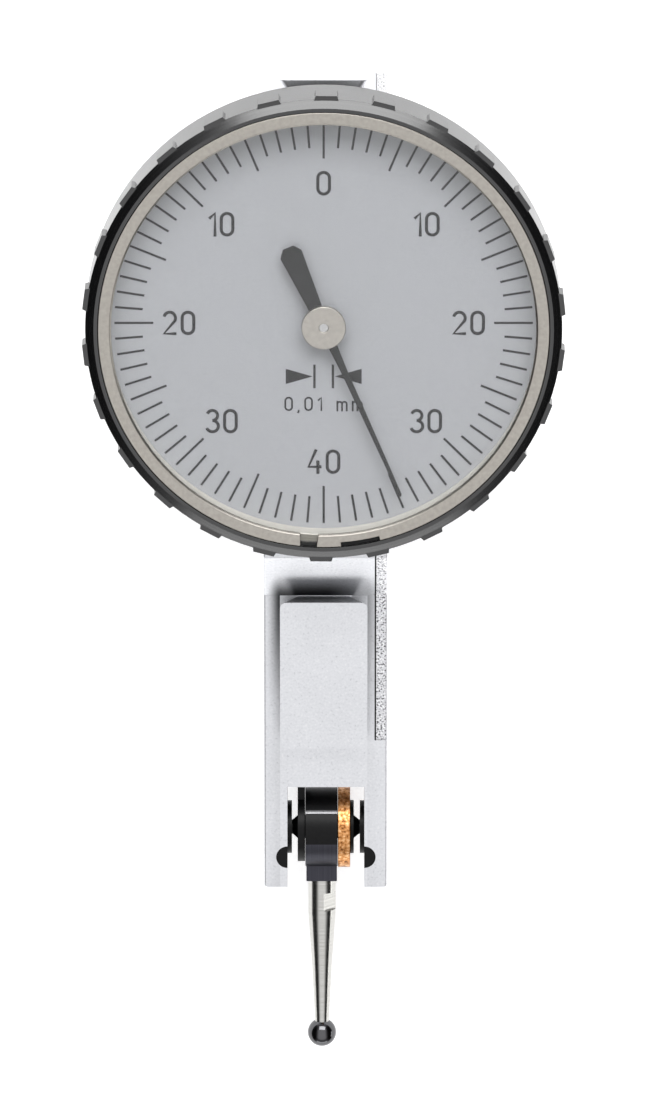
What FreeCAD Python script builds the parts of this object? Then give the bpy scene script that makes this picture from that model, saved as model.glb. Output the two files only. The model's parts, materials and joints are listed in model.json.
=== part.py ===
import FreeCAD, Part
import math
import os
import re
import Sketcher

# Dial test indicator, lying on its back with the dial up.
# +X is the side cover, +Y the rear end, +Z the way the dial faces, in millimetres.
# The origin is where the dial's axis meets the face of the dovetail rail on the underside.

SIZES = {
    # Dovetail rails, the same section on the dial side, the underside and the rear end
    "rail_width": 6.0,
    "rail_height": 1.6,
    "rail_flank": 60,
    "rail_corner": 0.4,
    "front_rail_step": 0.05,
    "front_rail_setback": 3.3,
    "back_rail_front": 20.0,
    "back_rail_rear": 2.0,
    "rear_rail_foot": 1.2,
    "rear_rail_drop": 0.7,
    # Housing: sides and pivot are counted from the dial axis, heights from the back face
    "body_left": 4.10,
    "body_right": 4.36,
    "fork_height": 6.6,
    "platform_height": 9.5,
    "rear_inset": 1.57,
    "platform_margin": 1.28,
    "ramp_run": 3.55,
    "pivot_reach": 38.75,
    "fork_tip": 3.35,
    "fork_corner": 0.25,
    "slot_left": 2.5,
    "slot_right": 2.8,
    "slot_depth": 3.95,
    "edge_round": 0.12,
    # Cavity for the movement
    "left_wall": 0.8,
    "back_wall": 1.0,
    "fork_roof": 0.8,
    "platform_roof": 1.0,
    "front_wall": 7.3,
    "rear_wall": 3.55,
    "deep_wall": 1.25,
    "mill_radius": 0.8,
    "channel_gap": 0.45,
    "channel_below": 1.3,
    "channel_above": 1.8,
    # Side cover and its screws
    "cover_thickness": 0.81,
    "cover_inset": 3.4,
    "cover_gap": 0.03,
    "cover_setback": 0.25,
    "cover_screw_radius": 0.6,
    "cover_screw_length": 3.0,
    "cover_head_radius": 1.15,
    "cover_head_height": 0.45,
    "cover_screw_drop": 2.1,
    "cover_screw_low": 2.4,
    "screw_clearance": 0.05,
    # Pivot, its bushes and their keys
    "pivot_radius": 0.5,
    "pivot_length": 1.0,
    "pivot_fit": 0.02,
    "shaft_radius": 0.8,
    "bush_radius": 1.2,
    "bush_flange_radius": 1.83,
    "bush_flange": 0.3,
    "bush_recess": 0.1,
    "cone_gap": 0.06,
    "key_radius": 0.78,
    "key_offset": 1.14,
    "key_clearance": 0.2,
    # Clutch stack on the pivot shaft, from left to right
    "clutch_left": 1.80,
    "lever_thickness": 0.51,
    "lever_disc_radius": 2.4,
    "clutch_gap": 0.02,
    "drum_width": 2.23,
    "drum_radius": 2.75,
    "drum_fit": 0.04,
    "friction_width": 0.85,
    "friction_radius": 2.8,
    "washer_width": 0.25,
    "washer_radius": 1.85,
    # Stylus holder, shank and ball
    "neck_left": 1.20,
    "neck_right": 0.92,
    "neck_half_height": 1.05,
    "neck_reach": 3.65,
    "drum_slit_width": 0.26,
    "drum_slit_depth": 0.25,
    "drum_slit_angle": 50,
    "stylus_left": 0.12,
    "stem_radius": 0.6,
    "stem_length": 1.5,
    "stem_fit": 0.02,
    "shank_radius": 0.965,
    "shank_straight": 2.6,
    "shank_waist_radius": 0.70,
    "shank_waist": 3.9,
    "flat_start": 0.95,
    "flat_length": 1.3,
    "flat_distance": 0.765,
    "flat_turn": 45,
    "stylus_reach": 15.04,
    "ball_radius": 1.0,
    "ball_seat_angle": 60,
    # Measuring lever and gear sector
    "arm_root_half": 0.8,
    "arm_end_half": 0.45,
    "arm_inset": 3.6,
    "sector_teeth": 748,
    "sector_cut_teeth": 11,
    "sector_thickness": 0.5,
    "sector_rim": 1.2,
    "sector_rim_angle": 5.6,
    "sector_lap": 3.8,
    "sector_foot_half": 0.7,
    "rivet_inset": 0.8,
    "rivet_spacing": 2.0,
    "rivet_radius": 0.25,
    "rivet_head_radius": 0.42,
    "rivet_head": 0.12,
    "lever_swing": 1.75,
    "stop_inset": 1.25,
    "stop_radius": 0.3,
    "stop_seat": 0.4,
    "stop_length": 2.6,
    "stop_gap": 0.03,
    # Crown arbor with its pinion and crown wheel
    "pinion_teeth": 38,
    "pinion_overlap": 0.15,
    "pinion_width": 0.95,
    "pinion_hub_radius": 0.8,
    "arbor_radius": 0.4,
    "arbor_pivot_radius": 0.15,
    "arbor_pivot_length": 0.3,
    "arbor_shake": 0.05,
    "crown_disc": 0.53,
    "crown_clearance": 0.6,
    "crown_teeth": 60,
    "crown_tooth_length": 0.4,
    "crown_tooth_width": 0.1,
    "jewel_radius": 0.6,
    "jewel_thickness": 0.45,
    "jewel_fit": 0.02,
    # Movement bridge on its two pillars
    "bridge_gap": 0.25,
    "bridge_thickness": 1.0,
    "bridge_front": 3.6,
    "bridge_edge_gap": 0.4,
    "pillar_radius": 1.1,
    "pillar_spacing": 3.7,
    "pillar_inset": 2.1,
    "pillar_low": 2.8,
    "pillar_high": 6.8,
    "bridge_screw_radius": 0.4,
    "bridge_screw_length": 1.6,
    "bridge_head_radius": 0.75,
    "bridge_head_height": 0.4,
    # Pointer spindle, its pinion and its bearings
    "bracket_half_width": 0.9,
    "bracket_gap": 0.12,
    "bracket_rise": 1.0,
    "bracket_height": 0.9,
    "spindle_radius": 0.3,
    "spindle_pivot_radius": 0.12,
    "spindle_jewel_radius": 0.4,
    "spindle_jewel_height": 0.3,
    "pointer_teeth": 10,
    "pointer_pinion_height": 0.7,
    "pointer_pinion_overlap": 0.55,
    "spindle_bush_radius": 0.9,
    "spindle_fit": 0.04,
    # Hairspring
    "collet_radius": 0.7,
    "collet_height": 0.35,
    "collet_rise": 0.15,
    "spring_thickness": 0.06,
    "spring_height": 0.25,
    "spring_turns": 5,
    "spring_outer": 3.0,
    "spring_gap": 0.02,
    "stud_radius": 0.3,
    "stud_height": 0.5,
    # Dial carrier, on which the grip ring turns
    "carrier_rim": 1.3,
    "carrier_height": 1.4,
    "carrier_recess_radius": 3.8,
    "carrier_recess": 0.6,
    "carrier_gap": 0.08,
    "carrier_shake": 0.05,
    "carrier_screw_x": 2.4,
    "carrier_screw_radius": 0.5,
    "carrier_screw_length": 1.9,
    "carrier_head_radius": 0.9,
    "carrier_head_height": 0.5,
    # Grip ring
    "grip_gap": 0.3,
    "grip_radius": 16.12,
    "grip_wall": 0.82,
    "grip_cone": 0.35,
    "grip_lip": 0.25,
    "grip_flange": 0.4,
    "groove_depth": 0.12,
    "groove_height": 0.18,
    "rib_count": 26,
    "rib_rise": 0.25,
    "rib_foot": 2.3,
    "rib_drop": 0.3,
    "rib_root_angle": 6.5,
    "rib_top_angle": 5.0,
    "rib_turn": 0.65,
    "rib_root_depth": 0.3,
    # What the grip ring holds over the carrier, from the wave spring up
    "stack_gap": 0.04,
    "wave_space": 0.6,
    "wave_edge": 0.16,
    "wave_width": 0.8,
    "wave_thickness": 0.12,
    "wave_count": 3,
    "wave_gap": 0.04,
    "dial_thickness": 0.3,
    "dial_hole_radius": 1.0,
    "rehaut_height": 1.5,
    "rehaut_width": 0.76,
    "crystal_thickness": 0.4,
    "gasket_width": 0.25,
    "ring_thickness": 0.3,
    "ring_width": 0.94,
    "ring_chamfer": 0.12,
    "ring_gap_angle": 3.9,
    "ring_gap_inner": 0.62,
    "ring_gap_outer": 0.52,
    "notch_start": 4.5,
    "notch_end": 14.5,
    "notch_depth": 0.3,
    # Pointer
    "pointer_angle": 156.4,
    "pointer_thickness": 0.2,
    "pointer_end_gap": 1.37,
    "pointer_root_half": 0.32,
    "pointer_neck_half": 0.21,
    "pointer_neck": 3.5,
    "pointer_tip_half": 0.1,
    "pointer_point": 0.15,
    "pointer_disc_radius": 1.2,
    "tail_root_half": 0.36,
    "tail_wide_half": 0.775,
    "tail_wide": 5.5,
    "tail_end_half": 0.39,
    "tail_reach": 6.0,
    "hub_radius": 1.5,
    "hub_cap": 0.42,
    "hub_gap": 0.15,
    "hub_tube_radius": 0.62,
    "hub_tube": 0.45,
    "hub_dimple": 0.12,
}

# Places that follow from the sizes, as formulas.
PLACES = {
    "rail_neck": "rail_width - 2 * rail_height / tan(rail_flank)",
    "back_z": "rail_height",
    "fork_z": "rail_height + fork_height",
    "platform_z": "rail_height + platform_height",
    "pivot_z": "rail_height + fork_height / 2",
    "fork_end": "pivot_reach + fork_tip",
    "slot_floor": "pivot_reach - slot_depth",
    "rear_reach": "grip_radius - rear_inset",
    "platform_front": "grip_radius + platform_margin",
    "ramp_foot": "platform_front + ramp_run",
    "front_rail_rear": "ramp_foot + front_rail_step",
    "front_rail_front": "slot_floor - front_rail_setback",
    "cover_front": "slot_floor - cover_inset",
    "cover_x": "body_right - cover_thickness",
    "cavity_left": "body_left - left_wall",
    "cavity_front": "slot_floor - front_wall",
    "cavity_rear": "rear_reach - rear_wall",
    "cavity_z": "back_z + back_wall",
    "roof_z": "platform_z - platform_roof",
    "rear_screw_y": "(cavity_rear + rear_reach) / 2",
    "deep_front": "rear_screw_y - deep_wall",
    "middle_screw_y": "-(deep_front + platform_front) / 2",
    "front_screw_y": "-(cavity_front + cover_front) / 2",
    "high_screw_z": "platform_z - cover_screw_drop",
    "low_screw_z": "back_z + cover_screw_low",
    # Clutch stack
    "lever_right": "lever_thickness - clutch_left",
    "drum_left": "lever_right + clutch_gap",
    "drum_right": "drum_left + drum_width",
    "friction_left": "drum_right + clutch_gap",
    "friction_right": "friction_left + friction_width",
    "washer_right": "friction_right + washer_width",
    "left_flange": "bush_flange - slot_left",
    "right_flange": "slot_right - bush_flange",
    "key_foot": "pivot_z + bush_radius + key_clearance",
    "key_y": "-pivot_reach - key_offset",
    "shank_end": "stylus_reach - ball_radius * sin(ball_seat_angle)",
    "seat_radius": "ball_radius * cos(ball_seat_angle)",
    # Gear train
    "arbor_z": "(cavity_z + roof_z) / 2",
    "arbor_rise": "arbor_z - pivot_z",
    "lever_tilt": "atan(arbor_rise / pivot_reach)",
    "centre_distance": "sqrt(pivot_reach ^ 2 + arbor_rise ^ 2)",
    "gear_module": "2 * centre_distance / (sector_teeth + pinion_teeth)",
    "sector_pitch": "gear_module * sector_teeth / 2",
    "pinion_pitch": "gear_module * pinion_teeth / 2",
    "arm_reach": "sector_pitch - arm_inset",
    "rivet_second": "arm_reach - rivet_inset",
    "rivet_first": "rivet_second - rivet_spacing",
    "sector_foot": "arm_reach - sector_lap",
    "sector_left": "-clutch_left - sector_thickness",
    "pinion_left": "sector_left - pinion_overlap",
    "crown_radius": "roof_z - arbor_z - crown_clearance",
    "crown_pitch": "crown_radius - crown_tooth_length / 2",
    "pointer_module": "2 * crown_pitch / crown_teeth",
    "pointer_pitch": "pointer_module * pointer_teeth / 2",
    "crown_tip": "0.9 * pointer_module - pointer_pitch",
    "crown_right": "-pointer_pitch - 1.3 * pointer_module",
    "crown_left": "crown_right - crown_disc",
    "stop_reach": "slot_depth + front_wall + stop_inset",
    "arm_half_at_stop": "arm_root_half + (arm_end_half - arm_root_half) * stop_reach / arm_reach",
    "stop_offset": "arm_half_at_stop + stop_radius + stop_gap + stop_reach * tan(lever_swing)",
    "bracket_z": "arbor_z + bracket_rise",
    "bracket_top": "bracket_z + bracket_height",
    "bracket_left": "crown_right + bracket_gap",
    "pointer_pinion_z": "arbor_z + crown_radius - pointer_pinion_overlap",
    "bridge_right": "cover_x - bridge_gap",
    "bridge_left": "bridge_right - bridge_thickness",
    # Dial head
    "carrier_top": "platform_z + carrier_height",
    "recess_z": "carrier_top - carrier_recess",
    "grip_z": "platform_z + grip_gap",
    "bezel_bore": "grip_radius - grip_wall",
    "carrier_boss_radius": "bezel_bore - carrier_rim",
    "stack_radius": "bezel_bore - stack_gap",
    "dial_z": "carrier_top + wave_space",
    "dial_face": "dial_z + dial_thickness",
    "crystal_z": "dial_face + rehaut_height",
    "crystal_top": "crystal_z + crystal_thickness",
    "grip_top": "crystal_top + ring_thickness",
    "rehaut_radius": "stack_radius - rehaut_width",
    "crystal_radius": "stack_radius - gasket_width",
    "ring_inner_radius": "bezel_bore - ring_width",
    "wave_outer_radius": "stack_radius - wave_edge",
    "wave_inner_radius": "wave_outer_radius - wave_width",
    "hub_top": "crystal_z - hub_gap",
    "hub_z": "hub_top - hub_cap",
    "pointer_z": "hub_z - pointer_thickness",
    "pointer_reach": "rehaut_radius - pointer_end_gap",
}

doc = FreeCAD.newDocument("dial_test_indicator")
sheet = doc.addObject("Spreadsheet::Sheet", "Sizes")
for row, (alias, size) in enumerate(SIZES.items(), start=1):
    sheet.set(f"A{row}", alias)
    sheet.set(f"B{row}", str(size))
    sheet.setAlias(f"B{row}", alias)
doc.recompute()

nodes = {}


# ---- Formulas, sketches and features ----

def formula(text):
    """Write a formula of sizes and places out in the spreadsheet's own terms."""
    def spell(match):
        word = match.group()
        if word in PLACES:
            return f"({formula(PLACES[word])})"
        return f"Sizes.{word}" if word in SIZES else word
    return re.sub(r"[a-z_]+", spell, text)


def number(text):
    """What a formula comes to now."""
    return float(sheet.evalExpression(formula(text)))


def polar(radius, angle):
    """A corner at a radius and an angle, counted from the sketch's first axis."""
    return f"({radius}) * cos({angle})", f"({radius}) * sin({angle})"


def turned_corner(along, across, angle):
    """A corner given along and across a direction that stands at an angle."""
    x = f"({along}) * cos({angle}) - ({across}) * sin({angle})"
    y = f"({along}) * sin({angle}) + ({across}) * cos({angle})"
    return x, y


def rectangle(left, right, low, high):
    """Four corners."""
    return [(left, low), (right, low), (right, high), (left, high)]


def new_body(name):
    """An empty body, whose label is the name of its node."""
    body = doc.addObject("PartDesign::Body", name)
    body.Label = name
    return body


def origin_part(body, role):
    """A plane or an axis of the body's own origin."""
    return next(part for part in body.Origin.OriginFeatures if part.Role == role)


def sketch_on(body, plane, height):
    """A sketch parallel to an origin plane; the XZ plane faces -Y, so its height changes sign."""
    sketch = body.newObject("Sketcher::SketchObject", body.Name + "_sketch")
    sketch.AttachmentSupport = [(origin_part(body, plane + "_Plane"), "")]
    sketch.MapMode = "FlatFace"
    sign = "-" if plane == "XZ" else ""
    sketch.setExpression("AttachmentOffset.Base.z", f"{sign}({formula(height)})")
    return sketch


def hold(sketch, geometry, point, x, y):
    """Tie a point of the sketch to its two formulas."""
    for kind, text in (("DistanceX", x), ("DistanceY", y)):
        constraint = Sketcher.Constraint(kind, -1, 1, geometry, point, number(text))
        index = sketch.addConstraint(constraint)
        sketch.setExpression(f"Constraints[{index}]", formula(text))


def draw_circle(sketch, x, y, radius):
    """A circle whose centre and radius are formulas."""
    centre = FreeCAD.Vector(number(x), number(y), 0)
    circle = Part.Circle(centre, FreeCAD.Vector(0, 0, 1), number(radius))
    geometry = sketch.addGeometry(circle, False)
    hold(sketch, geometry, 3, x, y)
    index = sketch.addConstraint(Sketcher.Constraint("Radius", geometry, number(radius)))
    sketch.setExpression(f"Constraints[{index}]", formula(radius))


def draw_polygon(sketch, corners):
    """A closed loop of straight edges."""
    spots = [FreeCAD.Vector(number(x), number(y), 0) for x, y in corners]
    first = sketch.GeometryCount
    for here, there in zip(spots, spots[1:] + spots[:1]):
        sketch.addGeometry(Part.LineSegment(here, there), False)
    for step in range(len(spots)):
        following = first + (step + 1) % len(spots)
        sketch.addConstraint(Sketcher.Constraint("Coincident", first + step, 2, following, 1))
    for line, (x, y) in enumerate(corners, start=first):
        hold(sketch, line, 1, x, y)


def draw(sketch, shapes):
    """Draw each shape: a tuple is a circle, a list is a polygon."""
    for shape in shapes:
        if isinstance(shape, tuple):
            draw_circle(sketch, *shape)
        else:
            draw_polygon(sketch, shape)


def check(thing):
    """Stop where an object failed or has no sound shape."""
    if "Invalid" in thing.State or "Error" in thing.State:
        raise ValueError(f"{thing.Label} failed: {thing.State}")
    if thing.Shape.isNull() or not thing.Shape.isValid():
        raise ValueError(f"{thing.Label} has no sound shape")


def settle(body, feature):
    """Make the feature the body's last one and check it."""
    body.Tip = feature
    doc.recompute()
    check(feature)
    return feature


def slab(body, plane, low, high, *shapes):
    """Add material between two heights over a plane."""
    sketch = sketch_on(body, plane, high if plane == "XZ" else low)
    draw(sketch, shapes)
    pad = body.newObject("PartDesign::Pad", body.Name + "_pad")
    pad.Profile = sketch
    pad.setExpression("Length", formula(f"({high}) - ({low})"))
    return settle(body, pad)


def hollow(body, plane, low, high, *shapes):
    """Cut material away between two heights over a plane."""
    before = body.Shape.Volume
    sketch = sketch_on(body, plane, low if plane == "XZ" else high)
    draw(sketch, shapes)
    pocket = body.newObject("PartDesign::Pocket", body.Name + "_pocket")
    pocket.Profile = sketch
    pocket.setExpression("Length", formula(f"({high}) - ({low})"))
    settle(body, pocket)
    if body.Shape.Volume > before - 1e-6:
        raise ValueError(f"{pocket.Name} cuts nothing")
    return pocket


def revolve(body, axis, outline, angle="360"):
    """Turn an outline of (radius, distance along the axis) corners about an axis of the body."""
    plane = "XZ" if axis == "Z" else "XY"
    sketch = sketch_on(body, plane, "0")
    swap = axis == "X"
    draw(sketch, [[(along, radius) if swap else (radius, along) for radius, along in outline]])
    turn = body.newObject("PartDesign::Revolution", body.Name + "_turn")
    turn.Profile = sketch
    turn.ReferenceAxis = (origin_part(body, axis + "_Axis"), [""])
    turn.setExpression("Angle", formula(angle))
    turn.Midplane = angle != "360"
    return settle(body, turn)


def repeat(body, feature, axis, count, angle="360"):
    """Repeat a feature about an axis of the body."""
    pattern = body.newObject("PartDesign::PolarPattern", body.Name + "_pattern")
    pattern.Originals = [feature]
    pattern.Axis = (origin_part(body, axis + "_Axis"), [""])
    pattern.setExpression("Angle", formula(angle))
    pattern.setExpression("Occurrences", formula(count))
    return settle(body, pattern)


def round_edges(body, radius, chosen):
    """Round the edges that a test picks."""
    base = body.Tip
    edges = [f"Edge{i}" for i, edge in enumerate(base.Shape.Edges, start=1) if chosen(edge)]
    fillet = body.newObject("PartDesign::Fillet", body.Name + "_fillet")
    fillet.Base = (base, edges)
    fillet.setExpression("Radius", formula(radius))
    return settle(body, fillet)


def stand(thing, x="0", y="0", z="0", turn=None, about=(0, 0, 1)):
    """Put a piece at its place, and turn it if it stands at an angle."""
    if turn is not None:
        rotation = FreeCAD.Rotation(FreeCAD.Vector(*about), 1)
        thing.Placement = FreeCAD.Placement(FreeCAD.Vector(), rotation)
        thing.setExpression("Placement.Rotation.Angle", formula(turn))
    thing.setExpression("Placement.Base.x", formula(x))
    thing.setExpression("Placement.Base.y", formula(y))
    thing.setExpression("Placement.Base.z", formula(z))
    return thing


def keep(thing):
    """Hand a piece in as a node of its own."""
    nodes[thing.Label] = thing
    return thing


def keep_group(name, members):
    """Hand identical pieces in as one node of separate solids."""
    group = doc.addObject("Part::Compound", name)
    group.Label = name
    group.Links = members
    keep(group)


def turned(name, axis, outline):
    """A body turned about one of its axes."""
    body = new_body(name)
    revolve(body, axis, outline)
    return body


def stepped(bore, *steps):
    """Outline of a stepped turning on a straight bore: (radius, start, end) for each step."""
    outline = [(bore, steps[0][1])]
    for radius, start, end in steps:
        outline += [(radius, start), (radius, end)]
    return outline + [(bore, steps[-1][2])]


def slotted_screw(name, axis, head_radius, head_height, radius, length):
    """A cheese-head screw whose head is seated on its own origin, with its slot across the head."""
    outline = stepped("0", (radius, f"-({length})", "0"), (head_radius, "0", head_height))
    body = turned(name, axis, outline)
    plane = "YZ" if axis == "X" else "XY"
    span = f"1.2 * {head_radius}"
    width = f"0.12 * {head_radius}"
    slot = rectangle(f"-{span}", span, f"-{width}", width)
    hollow(body, plane, f"{head_height} / 2", head_height, slot)
    return body


def tooth(radius, module, angle, tip_half="0.4", root_half="1.05"):
    """A straight-sided gear tooth at an angle, rooted a little under its root circle."""
    corners = []
    for height, half in (("-1.6", f"-{root_half}"), ("1", f"-{tip_half}"),
                         ("1", tip_half), ("-1.6", root_half)):
        along = f"{radius} + ({height}) * {module}"
        corners.append(turned_corner(along, f"({half}) * {module}", angle))
    return corners


def runs_along(edge, axis):
    """Whether an edge is straight and parallel to an axis."""
    step = edge.Vertexes[-1].Point - edge.Vertexes[0].Point
    return step.Length > 1e-6 and abs(abs(step.normalize().dot(axis)) - 1) < 1e-6


# ---- Housing ----

X_AXIS = FreeCAD.Vector(1, 0, 0)
Y_AXIS = FreeCAD.Vector(0, 1, 0)
Z_AXIS = FreeCAD.Vector(0, 0, 1)

COVER_SCREWS = [
    ("front_screw_y", "pivot_z"),
    ("middle_screw_y", "high_screw_z"),
    ("rear_screw_y", "high_screw_z"),
    ("rear_screw_y", "low_screw_z"),
]
PILLARS = [
    ("cavity_rear - pillar_inset - pillar_spacing", "back_z + pillar_low"),
    ("cavity_rear - pillar_inset", "back_z + pillar_high"),
]
CARRIER_SCREWS = [
    (f"{side} * carrier_screw_x", f"{end} * rear_screw_y")
    for side in (-1, 1)
    for end in (-1, 1)
]
STOP_PINS = [
    turned_corner("stop_reach", f"{side} * stop_offset", "lever_tilt")
    for side in (-1, 1)
]


def side_profile(front, rear):
    """The housing seen from the side: low over the fork, then the ramp up to the platform."""
    return [
        (front, "back_z"),
        (rear, "back_z"),
        (rear, "platform_z"),
        ("-platform_front", "platform_z"),
        ("-ramp_foot", "fork_z"),
        (front, "fork_z"),
    ]


def rail_section(base, face):
    """A dovetail across the width, its narrow neck at base and its wide face outermost."""
    return [
        ("-rail_neck / 2", base),
        ("rail_neck / 2", base),
        ("rail_width / 2", face),
        ("-rail_width / 2", face),
    ]


def add_rails(body):
    """Three dovetail rails of one section, with rounded corners."""
    slab(body, "XZ", "-back_rail_front", "back_rail_rear", rail_section("back_z", "0"))
    front_rail = rail_section("fork_z", "fork_z + rail_height")
    slab(body, "XZ", "-front_rail_front", "-front_rail_rear", front_rail)
    rear_rail = rail_section("rear_reach", "rear_reach + rail_height")
    slab(body, "XY", "back_z + rear_rail_foot", "platform_z - rear_rail_drop", rear_rail)
    slant = number("rail_height / sin(rail_flank)")

    def is_rail_corner(edge):
        straight = any(runs_along(edge, axis) for axis in (X_AXIS, Y_AXIS, Z_AXIS))
        return abs(edge.Length - slant) < 1e-4 and not straight

    round_edges(body, "rail_corner", is_rail_corner)


def cut_cavity(body):
    """The movement's cavity, open to the side cover, and the lever's channel into the fork."""
    low_roof = "fork_z - fork_roof"
    cavity = [
        ("-cavity_front", "cavity_z"),
        ("cavity_rear", "cavity_z"),
        ("cavity_rear", "roof_z"),
        ("-deep_front", "roof_z"),
        ("-deep_front", low_roof),
        ("-cavity_front", low_roof),
    ]
    hollow(body, "YZ", "-cavity_left", "cover_x", cavity)
    front, rear = -number("cavity_front"), number("cavity_rear")
    left, right = -number("cavity_left"), number("cover_x")

    def is_cavity_corner(edge):
        box = edge.BoundBox
        inside = front - 1e-4 < box.YMin and box.YMax < rear + 1e-4
        inside = inside and box.ZMin > number("cavity_z") - 1e-4
        full = abs(box.XMin - left) < 1e-4 and abs(box.XMax - right) < 1e-4
        return inside and full and runs_along(edge, X_AXIS)

    round_edges(body, "mill_radius", is_cavity_corner)
    channel = rectangle("-clutch_left - channel_gap", "lever_right + channel_gap",
                        "pivot_z - channel_below", "pivot_z + channel_above")
    hollow(body, "XZ", "-slot_floor", "-cavity_front + mill_radius", channel)


def add_pillars(body):
    """Two pillars that carry the movement bridge, drilled for its screws."""
    pillars = [(y, z, "pillar_radius") for y, z in PILLARS]
    slab(body, "YZ", "-cavity_left - left_wall / 2", "bridge_left", *pillars)
    holes = [(y, z, "bridge_screw_radius") for y, z in PILLARS]
    hollow(body, "YZ", "bridge_left - bridge_screw_length", "bridge_left", *holes)


def drill_housing(body):
    """Holes for bushes, keys, jewel, stop pins, screws and the pointer's spindle."""
    pivot_hole = ("-pivot_reach", "pivot_z", "bush_radius")
    hollow(body, "YZ", "-body_left", "-slot_left", pivot_hole)
    hollow(body, "YZ", "slot_right", "body_right", pivot_hole)
    for side in ("-slot_left", "slot_right"):
        hollow(body, "XY", "key_foot", "fork_z", (side, "key_y", "key_radius"))
    screws = [(y, z, "cover_screw_radius") for y, z in COVER_SCREWS]
    seat_depth = "cover_screw_length - (cover_thickness - cover_head_height)"
    hollow(body, "YZ", f"cover_x - ({seat_depth})", "cover_x", *screws)
    jewel = ("0", "arbor_z", "jewel_radius")
    hollow(body, "YZ", "-cavity_left - jewel_thickness", "-cavity_left", jewel)
    pins = [(f"-pivot_reach + {y}", f"pivot_z + {z}", "stop_radius") for y, z in STOP_PINS]
    hollow(body, "YZ", "-cavity_left - stop_seat", "-cavity_left", *pins)
    hollow(body, "XY", "roof_z", "platform_z", ("0", "0", "spindle_bush_radius"))
    threads = [(x, y, "carrier_screw_radius") for x, y in CARRIER_SCREWS]
    thread_depth = "carrier_screw_length - (carrier_height - carrier_head_height)"
    hollow(body, "XY", f"platform_z - ({thread_depth})", "platform_z", *threads)


def housing():
    """The steel block: fork, rails, platform under the dial, and the movement's cavity."""
    body = new_body("housing")
    slab(body, "YZ", "-body_left", "body_right", side_profile("-fork_end", "rear_reach"))
    tip = -number("fork_end")

    def is_tip_corner(edge):
        return runs_along(edge, Z_AXIS) and abs(edge.BoundBox.YMin - tip) < 1e-4

    round_edges(body, "fork_corner", is_tip_corner)
    round_edges(body, "edge_round", lambda edge: True)
    slot = rectangle("-slot_left", "slot_right", "-fork_end", "-slot_floor")
    hollow(body, "XY", "back_z", "fork_z", slot)
    add_rails(body)
    rebate = rectangle("-cover_front", "rear_reach + rail_height", "0", "platform_z + rail_height")
    hollow(body, "YZ", "cover_x", "body_right", rebate)
    cut_cavity(body)
    add_pillars(body)
    drill_housing(body)
    return keep(body)


def side_cover():
    """The plate that closes the cavity, let into the housing's side."""
    body = new_body("side_cover")
    front = "cover_gap - cover_front"
    slab(body, "YZ", "cover_x", "body_right", side_profile(front, "rear_reach - cover_setback"))
    face = number("body_right")

    def is_outer(edge):
        return edge.BoundBox.XMin > face - 1e-4

    round_edges(body, "edge_round", is_outer)
    holes = [(y, z, "cover_screw_radius + screw_clearance") for y, z in COVER_SCREWS]
    hollow(body, "YZ", "cover_x", "body_right", *holes)
    seats = [(y, z, "cover_head_radius + screw_clearance") for y, z in COVER_SCREWS]
    hollow(body, "YZ", "body_right - cover_head_height", "body_right", *seats)
    return keep(body)


def cover_screws():
    """Four screws, their heads flush with the cover."""
    screws = []
    for y, z in COVER_SCREWS:
        screw = slotted_screw("cover_screw", "X", "cover_head_radius", "cover_head_height",
                              "cover_screw_radius", "cover_screw_length")
        screws.append(stand(screw, "body_right - cover_head_height", y, z))
    keep_group("cover_screws", screws)


# ---- Pivot bearings ----

def bearing_bush(name, side, cheek, flange, outer):
    """A flanged bush for the pivot, pressed into a fork cheek, with a slot in its outer end."""
    bore = "pivot_radius + pivot_fit"
    floor = f"{flange} + ({side}) * (pivot_length + bush_flange + pivot_fit)"
    outline = [
        ("0", outer),
        ("bush_radius", outer),
        ("bush_radius", cheek),
        ("bush_flange_radius", cheek),
        ("bush_flange_radius", flange),
        (bore, flange),
        (bore, floor),
        ("0", floor),
    ]
    body = turned(name, "X", outline)
    slot = rectangle("-1.1 * bush_radius", "1.1 * bush_radius", "-0.15 * bush_radius", "0.15 * bush_radius")
    depth = "(body_left - slot_left) / 8"
    low, high = (outer, f"{outer} + {depth}") if side == "-1" else (f"{outer} - {depth}", outer)
    hollow(body, "YZ", low, high, slot)
    keep(stand(body, "0", "-pivot_reach", "pivot_z"))


def bush_keys():
    """Half-round keys that stop the bushes turning, let into the inner faces of the cheeks."""
    keys = []
    for side, slot_side in ((-1, "slot_left"), (1, "slot_right")):
        body = new_body("bush_key")
        slab(body, "XY", "0", "fork_z - key_foot", ("0", "0", "key_radius"))
        away = sorted((0, -side * 2))
        waste = rectangle(f"{away[0]} * key_radius", f"{away[1]} * key_radius",
                          "-2 * key_radius", "2 * key_radius")
        hollow(body, "XY", "0", "fork_z - key_foot", waste)
        keys.append(stand(body, f"{side} * {slot_side}", "key_y", "key_foot"))
    keep_group("bush_keys", keys)


# ---- Lever: pivot shaft, clutch discs, arm and gear sector ----

def pivot_shaft():
    """The shaft with fine pivots and conical shoulders that carries lever and clutch."""
    left, right = "left_flange", "right_flange"
    outline = [
        ("0", f"{left} - bush_flange - pivot_length"),
        ("pivot_radius", f"{left} - bush_flange - pivot_length"),
        ("pivot_radius", f"{left} + cone_gap"),
        ("shaft_radius", "-clutch_left"),
        ("shaft_radius", "washer_right"),
        ("pivot_radius", f"{right} - cone_gap"),
        ("pivot_radius", f"{right} + bush_flange + pivot_length"),
        ("0", f"{right} + bush_flange + pivot_length"),
    ]
    keep(stand(turned("pivot_shaft", "X", outline), "0", "-pivot_reach", "pivot_z"))


def on_lever(body):
    """Stand a piece on the pivot, tilted so that its Y axis points at the crown arbor."""
    stand(body, "0", "-pivot_reach", "pivot_z", turn="lever_tilt", about=(1, 0, 0))
    return keep(body)


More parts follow.
